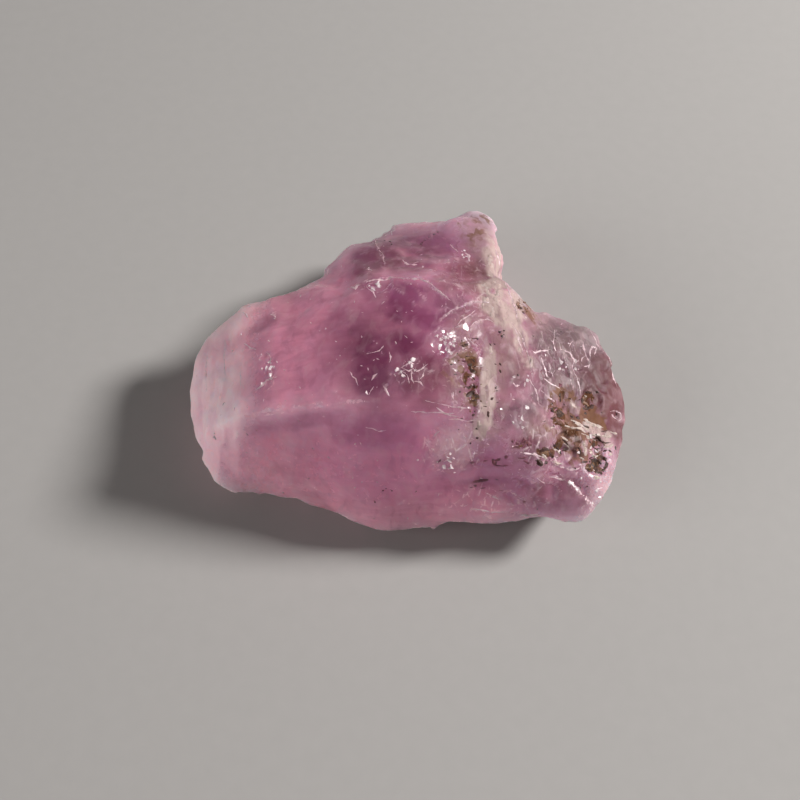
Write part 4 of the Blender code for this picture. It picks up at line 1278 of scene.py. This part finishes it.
def add_leaf(work, centre, spin, half, thickness, seed):
    """One closed wavy leaf with a ragged outline."""
    rings, spokes = 6, 28
    layers = []
    for side in (1.0, -1.0):
        rows = []
        for ring in range(1, rings + 1):
            row = []
            for spoke in range(spokes):
                angle = math.tau * spoke / spokes
                ragged = 1.0 + 0.28 * lumps(np.array(((math.cos(angle), math.sin(angle),
                                                      seed * 3.7),)), 0.5, 6)[0]
                reach = ring / rings * ragged
                flat = np.array((math.cos(angle) * half[0] * reach,
                                 math.sin(angle) * half[1] * reach, 0.0))
                wave = 0.22 * lumps(np.array((flat + seed * 5.0,)), 1.1, 2)[0]
                gap = side * thickness * 0.5 * (1.0 - 0.9 * ring / rings)
                spot = centre + spin @ (flat + np.array((0.0, 0.0, wave + gap)))
                row.append(work.verts.new(spot))
            rows.append(row)
        hub = work.verts.new(centre + spin @ np.array((0.0, 0.0, side * thickness * 0.5)))
        for k in range(spokes):
            work.faces.new((hub, rows[0][k], rows[0][(k + 1) % spokes]))
        for inner, outer in zip(rows, rows[1:]):
            for k in range(spokes):
                after = (k + 1) % spokes
                work.faces.new((inner[k], outer[k], outer[after], inner[after]))
        layers.append(rows[-1])
    for k in range(spokes):
        after = (k + 1) % spokes
        work.faces.new((layers[0][k], layers[1][k], layers[1][after], layers[0][after]))


def crust(name, mask_values, lift, sink):
    """A closed crust over the part of the outside where the mask is above nought."""
    skin = crystal_skin().data
    corners = corners_of(skin)
    normals = np.array([tuple(corner.normal) for corner in skin.vertices])
    faces = np.array([tuple(face.vertices) for face in skin.polygons])
    allowed = mask_values > 0.0
    pinched = np.array([True])
    while pinched.any():
        kept = faces[allowed[faces].all(axis=1)]
        sides = np.stack((kept, np.roll(kept, -1, axis=1)), axis=-1).reshape(-1, 2)
        sides, uses = np.unique(np.sort(sides, axis=1), axis=0, return_counts=True)
        pinched = np.bincount(sides[uses == 1].ravel(), minlength=len(allowed)) > 2
        allowed[pinched] = False
    used, index = np.unique(kept, return_inverse=True)
    index = index.reshape(-1, 4)
    top = corners[used] + normals[used] * lift[used][:, None]
    base = corners[used] - normals[used] * sink
    top = np.clip(top, LOW_CORNER, HIGH_CORNER)
    work = bmesh.new()
    upper = [work.verts.new(spot) for spot in top]
    lower = [work.verts.new(spot) for spot in base]
    for a, b, c, d in index:
        work.faces.new((upper[a], upper[b], upper[c], upper[d]))
        work.faces.new((lower[d], lower[c], lower[b], lower[a]))
    open_edges = [edge for edge in work.edges if edge.is_boundary]
    place = {corner: number for number, corner in enumerate(upper)}
    for edge in open_edges:
        first, second = edge.verts
        if first in place and second in place:
            i, j = place[first], place[second]
            work.faces.new((first, second, lower[j], lower[i]))
    loose = [corner for corner in work.verts if not corner.link_faces]
    bmesh.ops.delete(work, geom=loose, context="VERTS")
    return mesh_from(name, work)


def skin_mask(name):
    """One of the numbers stored at the skin's corners."""
    stored = crystal_skin().data.attributes[name]
    values = np.empty(len(stored.data))
    stored.data.foreach_get("value", values)
    return values


def build_cream_vein(settings):
    """The cream vein: a thin uneven crust over the crystal."""
    points = corners_of(crystal_skin().data)
    fibres = cloud(points * np.array((1.0, 0.4, 0.5)), 0.55, 51)
    amount = skin_mask("cream") + 0.6 * fibres - 1.0
    lift = np.clip(amount, -0.08, None) * settings.vein_height / MM
    lift = lift * (1.0 + 0.6 * lumps(points, 0.5, 53))
    mesh = crust("cream_vein", amount + 0.06, lift - 0.01, 0.14)
    shading = Shading("cream_vein")
    grain = shading.noise(0.45, 4.0, 0.3)
    streaks = shading.noise(0.5, 3.0, 0.2, (1.0, 0.25, 0.3), 4.0)
    mixed = shading.blend(shading.ramp(streaks, 0.35, 0.65),
                          rgba(settings.cream_colour, 0.82), rgba(settings.cream_colour, 1.12))
    stain = shading.ramp(grain, 0.58, 0.72, 0.0, 0.4)
    mixed = shading.blend(stain, mixed, rgba(settings.stain_colour))
    dull = shading.ramp(grain, 0.3, 0.7, 0.35, 0.7)
    shading.finished(Base_Color=mixed, Roughness=dull, IOR=VEIN_IOR, Subsurface_Weight=0.4,
                     Subsurface_Radius=(0.7, 0.5, 0.45), Subsurface_Scale=MM)
    shading.bump(grain, 0.4, 0.1)
    return settled(add_piece("cream_vein", mesh, shading.material))


def clay_material(settings, name):
    """Dull iron clay, from tan to dark brown."""
    shading = Shading(name)
    grain = shading.noise(0.5, 4.0, 0.3)
    broken, pick = shading.shards(0.45, (0.2, 0.1, 0.5), (1.0, 0.7, 0.8))
    mixed = shading.blend(shading.ramp(pick, 0.25, 0.6),
                          rgba(settings.dark_colour), rgba(settings.clay_colour))
    mixed = shading.blend(shading.ramp(pick, 0.82, 0.9, 0.0, 0.7), mixed,
                          rgba(settings.tan_colour))
    dust = shading.ramp(shading.noise(0.25, 3.0, shift=9.0), 0.58, 0.72, 0.0, 0.5)
    mixed = shading.blend(dust, mixed, rgba(settings.clay_colour, 1.3))
    dull = shading.ramp(grain, 0.3, 0.7, 0.5, 0.9)
    shading.finished(Base_Color=mixed, Roughness=dull, IOR=CLAY_IOR)
    relief = shading.bump(broken, 1.0, 1.2)
    shading.bump(grain, 0.5, 0.08, relief)
    return shading.material


def build_clay(settings):
    """Iron clay packed in the hollows: a broken crust and loose grains on it."""
    points = corners_of(crystal_skin().data)
    amount = skin_mask("rust") + 0.55 * cloud(points, 0.5, 61) - 0.58
    amount = np.where(skin_mask("rust") > 0.15, amount, -1.0)
    lift = np.clip(amount, -0.1, 0.5) * 0.2 * (1.0 + 0.7 * lumps(points, 0.4, 63)) - 0.01
    mesh = crust("clay_fill", amount + 0.06, lift, 0.16)
    fill = add_piece("clay_fill", mesh, clay_material(settings, "iron_clay"))
    return settled(crisp(fill))


def scatter_tree(name, make_grain, material):
    """A node tree that scatters small bodies on the crystal where a mask allows."""
    tree = bpy.data.node_groups.new(name, "GeometryNodeTree")
    for label, kind in (("Surface", "NodeSocketObject"), ("Mask", "NodeSocketString"),
                        ("Density", "NodeSocketFloat"), ("Smallest", "NodeSocketFloat"),
                        ("Largest", "NodeSocketFloat"), ("Roughen", "NodeSocketFloat"),
                        ("Seed", "NodeSocketInt")):
        tree.interface.new_socket(label, in_out="INPUT", socket_type=kind)
    tree.interface.new_socket("Geometry", in_out="OUTPUT", socket_type="NodeSocketGeometry")

    def node(kind, links=None, **settings):
        made = tree.nodes.new(kind)
        for key, value in settings.items():
            setattr(made, key, value)
        for key, value in (links or {}).items():
            if isinstance(value, bpy.types.NodeSocket):
                tree.links.new(value, made.inputs[key])
            else:
                made.inputs[key].default_value = value
        return made

    inputs = node("NodeGroupInput").outputs
    surface = node("GeometryNodeObjectInfo", {"Object": inputs["Surface"]})
    weight = node("GeometryNodeInputNamedAttribute", {"Name": inputs["Mask"]},
                  data_type="FLOAT")
    density = node("ShaderNodeMath", {0: inputs["Density"], 1: weight.outputs[0]},
                   operation="MULTIPLY")
    points = node("GeometryNodeDistributePointsOnFaces",
                  {"Mesh": surface.outputs["Geometry"], "Density": density.outputs[0],
                   "Seed": inputs["Seed"]})
    turn, grain = make_grain(node, points)
    size = node("FunctionNodeRandomValue", {2: inputs["Smallest"], 3: inputs["Largest"],
                                            "Seed": inputs["Seed"]}, data_type="FLOAT")
    placed = node("GeometryNodeInstanceOnPoints",
                  {"Points": points.outputs["Points"], "Instance": grain, "Rotation": turn,
                   "Scale": size.outputs[1]})
    real = node("GeometryNodeRealizeInstances", {"Geometry": placed.outputs["Instances"]})
    noise = node("ShaderNodeTexNoise", {"Scale": ROUGHEN_SCALE, "Detail": 1.0})
    centred = node("ShaderNodeVectorMath", {0: noise.outputs["Color"], 1: (0.5, 0.5, 0.5)},
                   operation="SUBTRACT")
    pushed = node("ShaderNodeVectorMath", {0: centred.outputs[0], "Scale": inputs["Roughen"]},
                  operation="SCALE")
    shaped = node("GeometryNodeSetPosition", {"Geometry": real.outputs["Geometry"],
                                              "Offset": pushed.outputs[0]})
    finished = node("GeometryNodeSetMaterial", {"Geometry": shaped.outputs["Geometry"],
                                                "Material": material})
    node("NodeGroupOutput", {"Geometry": finished.outputs["Geometry"]})
    return tree


def scattered(name, make_grain, material, values):
    """Scatters small bodies on the crystal and keeps the result as a plain piece."""
    tree = scatter_tree(name, make_grain, material)
    piece = add_piece(name, bpy.data.meshes.new(name), material)
    modifier = piece.modifiers.new("scatter", "NODES")
    sockets = {item.name: item.identifier for item in tree.interface.items_tree
               if item.in_out == "INPUT"}
    modifier.node_group = tree
    for label, value in {"Surface": crystal_skin(), **values}.items():
        modifier[sockets[label]] = value
    piece = baked(piece)
    if not piece.data.polygons:
        raise RuntimeError(name + " came out empty")
    put_back(piece.data, corners_of(piece.data))
    return piece


def lumpy_grain(node, points):
    """A grain turned any way, and its rotation."""
    grain = node("GeometryNodeMeshIcoSphere", {"Radius": 1.0, "Subdivisions": 1})
    turn = node("FunctionNodeRandomValue", {0: (0.0, 0.0, 0.0), 1: (SPIN, SPIN, SPIN),
                                            "Seed": 3}, data_type="FLOAT_VECTOR")
    return turn.outputs[0], grain.outputs["Mesh"]


def slim_fleck(node, points):
    """A slim chip, a quarter as wide as it is long."""
    return thin_flake(node, points, FLECK_WIDTH)


def thin_flake(node, points, width=CHIP_WIDTH):
    """A thin six-sided chip that leans towards a light from the right."""
    chip = node("GeometryNodeMeshCylinder", {"Vertices": 6, "Radius": 1.0, "Depth": 0.34})
    long = node("GeometryNodeTransform", {"Geometry": chip.outputs["Mesh"],
                                          "Scale": (1.0, width, 0.6)})
    lean = node("ShaderNodeVectorMath", {0: points.outputs["Normal"],
                                         1: tuple(GLINT_LEAN * CHIP_LEANING)}, operation="ADD")
    jitter = node("FunctionNodeRandomValue", {0: (-0.4, -0.4, -0.4), 1: (0.4, 0.4, 0.4),
                                              "Seed": 5}, data_type="FLOAT_VECTOR")
    way = node("ShaderNodeVectorMath", {0: lean.outputs[0], 1: jitter.outputs[0]},
               operation="ADD")
    spin = node("FunctionNodeRandomValue", {2: 0.0, 3: SPIN, "Seed": 8}, data_type="FLOAT")
    about = node("ShaderNodeCombineXYZ", {"Z": spin.outputs[1]})
    aligned = node("FunctionNodeAlignEulerToVector",
                   {"Rotation": about.outputs[0], "Vector": way.outputs[0]}, axis="Z")
    return aligned.outputs[0], long.outputs["Geometry"]


def build_clay_grains(settings):
    """Loose grains of iron clay lying in the hollows."""
    material = clay_material(settings, "clay_grains")
    piece = scattered("clay_grains", lumpy_grain, material, {
        "Mask": "rust", "Density": settings.grain_density,
        "Smallest": settings.grain_size * 0.3, "Largest": settings.grain_size,
        "Roughen": settings.grain_size * 1.2, "Seed": settings.seed})
    return settled(piece)


def build_glints(settings):
    """Glassy chips that catch the light where the crystal is broken up."""
    # The chips and flecks are pale partly as a painted glint, on top of the lamp light that their
    # lean catches.
    material = frost_material("glint_chip", settings.colour, 0.15, 0.07)
    piece = scattered("glint_chips", thin_flake, material, {
        "Mask": "glint", "Density": settings.glint_density,
        "Smallest": settings.glint_size * 0.35, "Largest": settings.glint_size,
        "Roughen": settings.glint_size * 1.5, "Seed": settings.seed})
    settled(crisp(piece))
    material = frost_material("rosy_fleck", settings.fleck_colour, 0.35, 0.12)
    flecks = scattered("bright_flecks", slim_fleck, material, {
        "Mask": "fleck", "Density": settings.fleck_density,
        "Smallest": settings.glint_size * 0.2, "Largest": settings.glint_size * 0.75,
        "Roughen": settings.glint_size * 0.9, "Seed": settings.seed + 1})
    return settled(crisp(flecks))


def build_specks(settings):
    """Dark mineral specks half sunk in the crystal."""
    ground = Ground()
    random = np.random.default_rng(SPECK_SEED)
    work = bmesh.new()
    for number, (u, v, across) in enumerate(SPECKS):
        for part in range(3):
            spread = 0.0 if part == 0 else across * 0.7
            found = ground.find(*(np.array((u, v)) + random.uniform(-spread, spread, 2)))
            if found is None:
                continue
            place, normal = found
            radius = across * settings.speck_size * (0.5 if part == 0 else 0.24)
            detail = 2 if part == 0 else 1
            made = bmesh.ops.create_icosphere(work, subdivisions=detail, radius=1.0)
            squash = radius * random.uniform(0.7, 1.2, 3)
            for corner in made["verts"]:
                way = np.array(corner.co)
                rough = 1.0 + 0.4 * lumps((way + number * 7.0 + part)[None], 0.6, 13)[0]
                spot = way * squash * rough
                spot = spot - normal * (spot @ normal) * 0.45
                corner.co = np.clip(place + spot, LOW_CORNER, HIGH_CORNER)
    mesh = mesh_from("dark_specks", work)
    shading = Shading("dark_mineral")
    grain = shading.noise(0.3, 3.0)
    mixed = shading.blend(grain, rgba(settings.colour, 0.5), rgba(settings.colour, 1.7))
    dull = shading.ramp(grain, 0.3, 0.7, 0.3, 0.7)
    shading.finished(Base_Color=mixed, Roughness=dull, IOR=FROST_IOR)
    shading.bump(grain, 0.4, 0.05)
    return settled(add_piece("dark_specks", mesh, shading.material))


def aimed(thing, target):
    """Turns a lamp or camera towards a point."""
    way = Vector(target) - thing.location
    thing.rotation_euler = way.to_track_quat("-Z", "Y").to_euler()


def add_lamp(name, size, power, colour, turn, rise, distance):
    """A soft round lamp aimed at the stone."""
    data = bpy.data.lights.new(name, "AREA")
    data.shape = "DISK"
    data.size = size
    data.energy = power
    data.color = colour
    lamp = bpy.data.objects.new(name, data)
    bpy.context.scene.collection.objects.link(lamp)
    way = Vector((math.cos(rise) * math.cos(turn), math.cos(rise) * math.sin(turn),
                  math.sin(rise)))
    lamp.location = way * distance
    aimed(lamp, LAMPS_AIM_AT)
    return lamp


def build_stage(settings):
    """A plain pale floor, a soft lamp, a weak even fill and the camera."""
    mesh = bpy.data.meshes.new("floor")
    half = settings.floor_size / 2
    mesh.from_pydata([(-half, -half, 0), (half, -half, 0), (half, half, 0), (-half, half, 0)],
                     [], [(0, 1, 2, 3)])
    shading = Shading("floor")
    grain = shading.noise(1.6, 3.0)
    mixed = shading.blend(grain, rgba(settings.floor_colour, 0.97),
                          rgba(settings.floor_colour, 1.03))
    shading.finished(Base_Color=mixed, Roughness=0.9)
    floor = add_piece("floor", mesh, shading.material)
    floor.location.z = -FLOOR_GAP * MM
    add_lamp("key_lamp", settings.lamp_size, settings.lamp_power, settings.lamp_colour,
             settings.lamp_turn, settings.lamp_rise, settings.lamp_distance)
    side = add_lamp("side_lamp", settings.side_size, settings.side_power,
                    settings.lamp_colour, settings.side_turn, settings.side_rise,
                    settings.lamp_distance)
    side.visible_glossy = False
    world = bpy.data.worlds.new("soft_fill")
    world.use_nodes = True
    backdrop = world.node_tree.nodes["Background"]
    backdrop.inputs["Color"].default_value = rgba(settings.fill_colour)
    backdrop.inputs["Strength"].default_value = settings.fill_strength
    bpy.context.scene.world = world
    camera_data = bpy.data.cameras.new("camera")
    camera_data.lens = LENS
    camera_data.sensor_width = SENSOR_WIDTH
    camera_data.clip_start = 0.001
    camera = bpy.data.objects.new("camera", camera_data)
    bpy.context.scene.collection.objects.link(camera)
    target = Vector(LOOK_AT) * MM
    tilt = settings.camera_tilt
    back = Vector((0.0, -math.cos(tilt), math.sin(tilt)))
    camera.location = target + back * settings.camera_distance
    aimed(camera, target)
    bpy.context.scene.camera = camera
    bpy.context.scene.view_settings.view_transform = "Standard"
    return floor


def colour_property(name, description, default):
    """A colour setting."""
    return FloatVectorProperty(name=name, description=description, subtype="COLOR",
                               min=0.0, max=1.0, default=default)


def length_property(name, description, default, least=0.0):
    """A length setting in metres."""
    return FloatProperty(name=name, description=description, subtype="DISTANCE",
                         unit="LENGTH", min=least, default=default, precision=5)


def share_property(name, description, default, most=1.0):
    """A setting from nought up to a limit."""
    return FloatProperty(name=name, description=description, subtype="FACTOR",
                         min=0.0, max=most, default=default)


def amount_property(name, description, default, unit="NONE"):
    """A setting from nought up."""
    return FloatProperty(name=name, description=description, unit=unit, min=0.0,
                         default=default)


def angle_property(name, description, degrees):
    """An angle setting, given here in degrees."""
    return FloatProperty(name=name, description=description, subtype="ANGLE",
                         default=math.radians(degrees))


class CrystalSettings(bpy.types.PropertyGroup):
    body_colour: colour_property("Body", "Colour of the milky pink body", (0.74, 0.283, 0.41))
    core_colour: colour_property("Core", "Colour of the clear violet core", (0.22, 0.05, 0.108))
    violet_colour: colour_property("Violet", "Colour of the violet areas", (0.67, 0.215, 0.375))
    grey_colour: colour_property("Mauve", "Colour of the hazy mauve areas", (0.155, 0.042, 0.06))
    ash_colour: colour_property("Ash", "Colour of the greyish breaks", (0.25, 0.155, 0.157))
    pale_colour: colour_property("Pale", "Colour of the etched pale ends", (1.0, 0.64, 0.70))
    frost_colour: colour_property("Frost", "Colour of the fine webs", (0.92, 0.74, 0.77))
    rose_colour: colour_property("Rose", "Colour of the clear rose areas", (0.14, 0.033, 0.036))
    lilac_colour: colour_property("Lilac", "Colour of the lilac breaks", (0.175, 0.08, 0.10))
    haze_colour: colour_property("Haze", "Colour of the tan haze by the vein", (0.30, 0.175, 0.165))
    cream_colour: colour_property("Cream", "Colour under the cream vein", (0.47, 0.35, 0.325))
    tan_colour: colour_property("Tan", "Colour of the stained breaks", (0.175, 0.083, 0.04))
    rust_colour: colour_property("Rust", "Colour of the iron stains", (0.103, 0.038, 0.014))
    clarity: share_property("Clarity", "How see-through the clear areas are", 0.25)
    milkiness: share_property("Milkiness", "How much light glows through the rest", 1.0)
    roughness: share_property("Roughness", "Dullness of the clean breaks", 0.2)
    relief: share_property("Relief", "Height of the fine breaks", 1.0, 2.0)
    mesh_size: length_property("Mesh size", "Spacing of the crystal's mesh", 0.00024, 0.0002)
    glow_radius: FloatVectorProperty(name="Glow radius", min=0.0, default=(9.0, 3.5, 6.0),
                                     description="Millimetres that each colour spreads inside")
    absorption_colour: colour_property("Depth colour", "Colour light keeps inside",
                                       (0.62, 0.10, 0.42))
    absorption_density: amount_property("Depth strength",
                                        "How fast light is lost inside, per metre", 90.0)


class VeilSettings(bpy.types.PropertyGroup):
    colour: colour_property("Colour", "Colour of the cloudy veils", (0.80, 0.58, 0.66))
    thickness: length_property("Thickness", "Thickness of a veil", 0.00006, 0.00002)


class FractureSettings(bpy.types.PropertyGroup):
    colour: colour_property("Colour", "Colour of the healed fractures", (0.82, 0.575, 0.625))
    width: share_property("Width", "Width of the fractures as a share", 1.0, 3.0)
    rise: share_property("Rise", "Height as a share of the half width", 0.28, 3.0)
    dive: length_property("Depth", "How far a fracture dives into the crystal", 0.0007)


class CrackSettings(bpy.types.PropertyGroup):
    dark_colour: colour_property("Dark", "Colour of the iron cracks", (0.05, 0.018, 0.013))
    mauve_colour: colour_property("Mauve", "Colour of the mauve cracks", (0.16, 0.052, 0.07))
    blade_colour: colour_property("Blades", "Colour of the cream blades", (0.60, 0.47, 0.42))
    width: share_property("Width", "Width of the cracks as a share", 1.2, 3.0)


class GlintSettings(bpy.types.PropertyGroup):
    # A pale colour that is partly a painted glint.
    colour: colour_property("Colour", "Colour of the glassy chips", (0.90, 0.74, 0.77))
    glint_size: length_property("Size", "Half width of the largest chip", 0.0003, 0.00005)
    glint_density: amount_property("Density", "Chips per square metre where they crowd", 7.0e6)
    # Pale pink, partly a painted glint.
    fleck_colour: colour_property("Fleck", "Colour of the small flecks", (0.88, 0.60, 0.66))
    fleck_density: amount_property("Fleck density",
                                   "Small flecks per square metre where they crowd", 5.0e5)
    seed: IntProperty(name="Seed", description="Changes where the chips fall", default=4)


class VeinSettings(bpy.types.PropertyGroup):
    cream_colour: colour_property("Cream", "Colour of the vein", (0.49, 0.36, 0.335))
    stain_colour: colour_property("Stain", "Colour of the stains in it", (0.30, 0.16, 0.12))
    vein_height: length_property("Height", "Height of the vein's crust", 0.00005)


class ClaySettings(bpy.types.PropertyGroup):
    clay_colour: colour_property("Clay", "Colour of the iron clay", (0.175, 0.08, 0.034))
    dark_colour: colour_property("Dark", "Colour of its dark parts", (0.045, 0.02, 0.014))
    tan_colour: colour_property("Tan", "Colour of the dust on it", (0.36, 0.22, 0.17))
    grain_size: length_property("Grain size", "Radius of the largest grain", 0.0001, 0.00003)
    grain_density: amount_property("Density", "Grains per square metre where they crowd", 7.0e6)
    seed: IntProperty(name="Seed", description="Changes where the grains fall", default=9)


class SpeckSettings(bpy.types.PropertyGroup):
    colour: colour_property("Colour", "Colour of the dark specks", (0.045, 0.018, 0.018))
    speck_size: share_property("Size", "Size of the specks as a share", 1.0, 3.0)


class StageSettings(bpy.types.PropertyGroup):
    floor_size: length_property("Floor size", "Width of the floor", 1.6, 0.1)
    floor_colour: colour_property("Floor", "Colour of the floor", (0.40, 0.39, 0.38))
    lamp_power: amount_property("Lamp power", "Power of the lamp", 5.4, "POWER")
    lamp_colour: colour_property("Lamp", "Colour of the lamp", (1.0, 0.97, 0.95))
    lamp_size: length_property("Lamp size", "Width of the lamp", 0.14)
    lamp_distance: length_property("Lamp distance", "From the stone to the lamp", 0.6)
    lamp_turn: angle_property("Lamp turn", "Way round from the right", 12.0)
    lamp_rise: angle_property("Lamp rise", "Angle above the floor", 34.0)
    side_power: amount_property("Side power", "Power of the side lamp", 2.1, "POWER")
    side_size: length_property("Side size", "Width of the side lamp", 0.5)
    side_turn: angle_property("Side turn", "Way round from the right", -154.0)
    side_rise: angle_property("Side rise", "Angle above the floor", 17.0)
    fill_colour: colour_property("Fill", "Colour of the even fill", (1.0, 0.97, 0.98))
    fill_strength: amount_property("Fill strength", "Strength of the even fill", 0.06)
    camera_tilt: angle_property("Camera tilt", "Camera's angle above the floor", 60.4)
    camera_distance: length_property("Camera distance", "From the stone to the camera", 0.1152)


class KUNZITE_OT_crystal(bpy.types.Operator):
    """Build the crystal's outside with its breaks, steps and ripples"""

    bl_idname = "kunzite.crystal"
    bl_label = "Crystal"

    def execute(self, context):
        build_crystal(context.scene.kunzite_crystal)
        return {"FINISHED"}


class KUNZITE_OT_veils(bpy.types.Operator):
    """Build the cloudy veils sealed inside the crystal"""

    bl_idname = "kunzite.veils"
    bl_label = "Inner veils"

    def execute(self, context):
        build_veils(context.scene.kunzite_veils)
        return {"FINISHED"}


class KUNZITE_OT_fractures(bpy.types.Operator):
    """Build the healed fractures"""

    bl_idname = "kunzite.fractures"
    bl_label = "Healed fractures"

    def execute(self, context):
        build_fractures(context.scene.kunzite_fractures)
        return {"FINISHED"}


class KUNZITE_OT_glints(bpy.types.Operator):
    """Scatter the glassy chips"""

    bl_idname = "kunzite.glints"
    bl_label = "Glassy chips"

    def execute(self, context):
        build_glints(context.scene.kunzite_glints)
        return {"FINISHED"}


class KUNZITE_OT_cream_vein(bpy.types.Operator):
    """Build the cream vein"""

    bl_idname = "kunzite.cream_vein"
    bl_label = "Cream vein"

    def execute(self, context):
        build_cream_vein(context.scene.kunzite_vein)
        return {"FINISHED"}


class KUNZITE_OT_clay(bpy.types.Operator):
    """Build the iron clay packed in the hollows"""

    bl_idname = "kunzite.clay"
    bl_label = "Iron clay"

    def execute(self, context):
        build_clay(context.scene.kunzite_clay)
        return {"FINISHED"}


class KUNZITE_OT_clay_grains(bpy.types.Operator):
    """Scatter the loose grains of iron clay"""

    bl_idname = "kunzite.clay_grains"
    bl_label = "Clay grains"

    def execute(self, context):
        build_clay_grains(context.scene.kunzite_clay)
        return {"FINISHED"}


class KUNZITE_OT_cracks(bpy.types.Operator):
    """Build the dark cracks and the cream blades between them"""

    bl_idname = "kunzite.cracks"
    bl_label = "Cracks"

    def execute(self, context):
        build_cracks(context.scene.kunzite_cracks)
        return {"FINISHED"}


class KUNZITE_OT_specks(bpy.types.Operator):
    """Build the dark mineral specks"""

    bl_idname = "kunzite.specks"
    bl_label = "Dark specks"

    def execute(self, context):
        build_specks(context.scene.kunzite_specks)
        return {"FINISHED"}


class KUNZITE_OT_stage(bpy.types.Operator):
    """Set out the floor, the lamp, the fill and the camera"""

    bl_idname = "kunzite.stage"
    bl_label = "Stage"

    def execute(self, context):
        build_stage(context.scene.kunzite_stage)
        return {"FINISHED"}


SETTINGS = {
    "kunzite_crystal": CrystalSettings,
    "kunzite_veils": VeilSettings,
    "kunzite_fractures": FractureSettings,
    "kunzite_glints": GlintSettings,
    "kunzite_vein": VeinSettings,
    "kunzite_clay": ClaySettings,
    "kunzite_cracks": CrackSettings,
    "kunzite_specks": SpeckSettings,
    "kunzite_stage": StageSettings,
}

STEPS = (
    (KUNZITE_OT_crystal, "kunzite_crystal"),
    (KUNZITE_OT_veils, "kunzite_veils"),
    (KUNZITE_OT_fractures, "kunzite_fractures"),
    (KUNZITE_OT_glints, "kunzite_glints"),
    (KUNZITE_OT_cream_vein, "kunzite_vein"),
    (KUNZITE_OT_clay, "kunzite_clay"),
    (KUNZITE_OT_clay_grains, "kunzite_clay"),
    (KUNZITE_OT_cracks, "kunzite_cracks"),
    (KUNZITE_OT_specks, "kunzite_specks"),
    (KUNZITE_OT_stage, "kunzite_stage"),
)


class KUNZITE_PT_panel(bpy.types.Panel):
    """Lists the stone's pieces and their settings"""

    bl_idname = "KUNZITE_PT_panel"
    bl_label = "Rough Kunzite"
    bl_space_type = "VIEW_3D"
    bl_region_type = "UI"
    bl_category = "Kunzite"

    def draw(self, context):
        for operator, group in STEPS:
            box = self.layout.box()
            box.operator(operator.bl_idname)
            settings = getattr(context.scene, group)
            for name in settings.__annotations__:
                box.prop(settings, name)


def register():
    for group in SETTINGS.values():
        bpy.utils.register_class(group)
    for name, group in SETTINGS.items():
        setattr(bpy.types.Scene, name, PointerProperty(type=group))
    for operator, _ in STEPS:
        bpy.utils.register_class(operator)
    bpy.utils.register_class(KUNZITE_PT_panel)


def unregister():
    bpy.utils.unregister_class(KUNZITE_PT_panel)
    for operator, _ in reversed(STEPS):
        bpy.utils.unregister_class(operator)
    for name, group in reversed(SETTINGS.items()):
        delattr(bpy.types.Scene, name)
        bpy.utils.unregister_class(group)


def main():
    """Builds the whole stone and its stage."""
    register()
    bpy.ops.kunzite.crystal()
    bpy.ops.kunzite.veils()
    bpy.ops.kunzite.fractures()
    bpy.ops.kunzite.glints()
    bpy.ops.kunzite.cream_vein()
    bpy.ops.kunzite.clay()
    bpy.ops.kunzite.clay_grains()
    bpy.ops.kunzite.cracks()
    bpy.ops.kunzite.specks()
    bpy.ops.kunzite.stage()


if __name__ == "__main__":
    main()
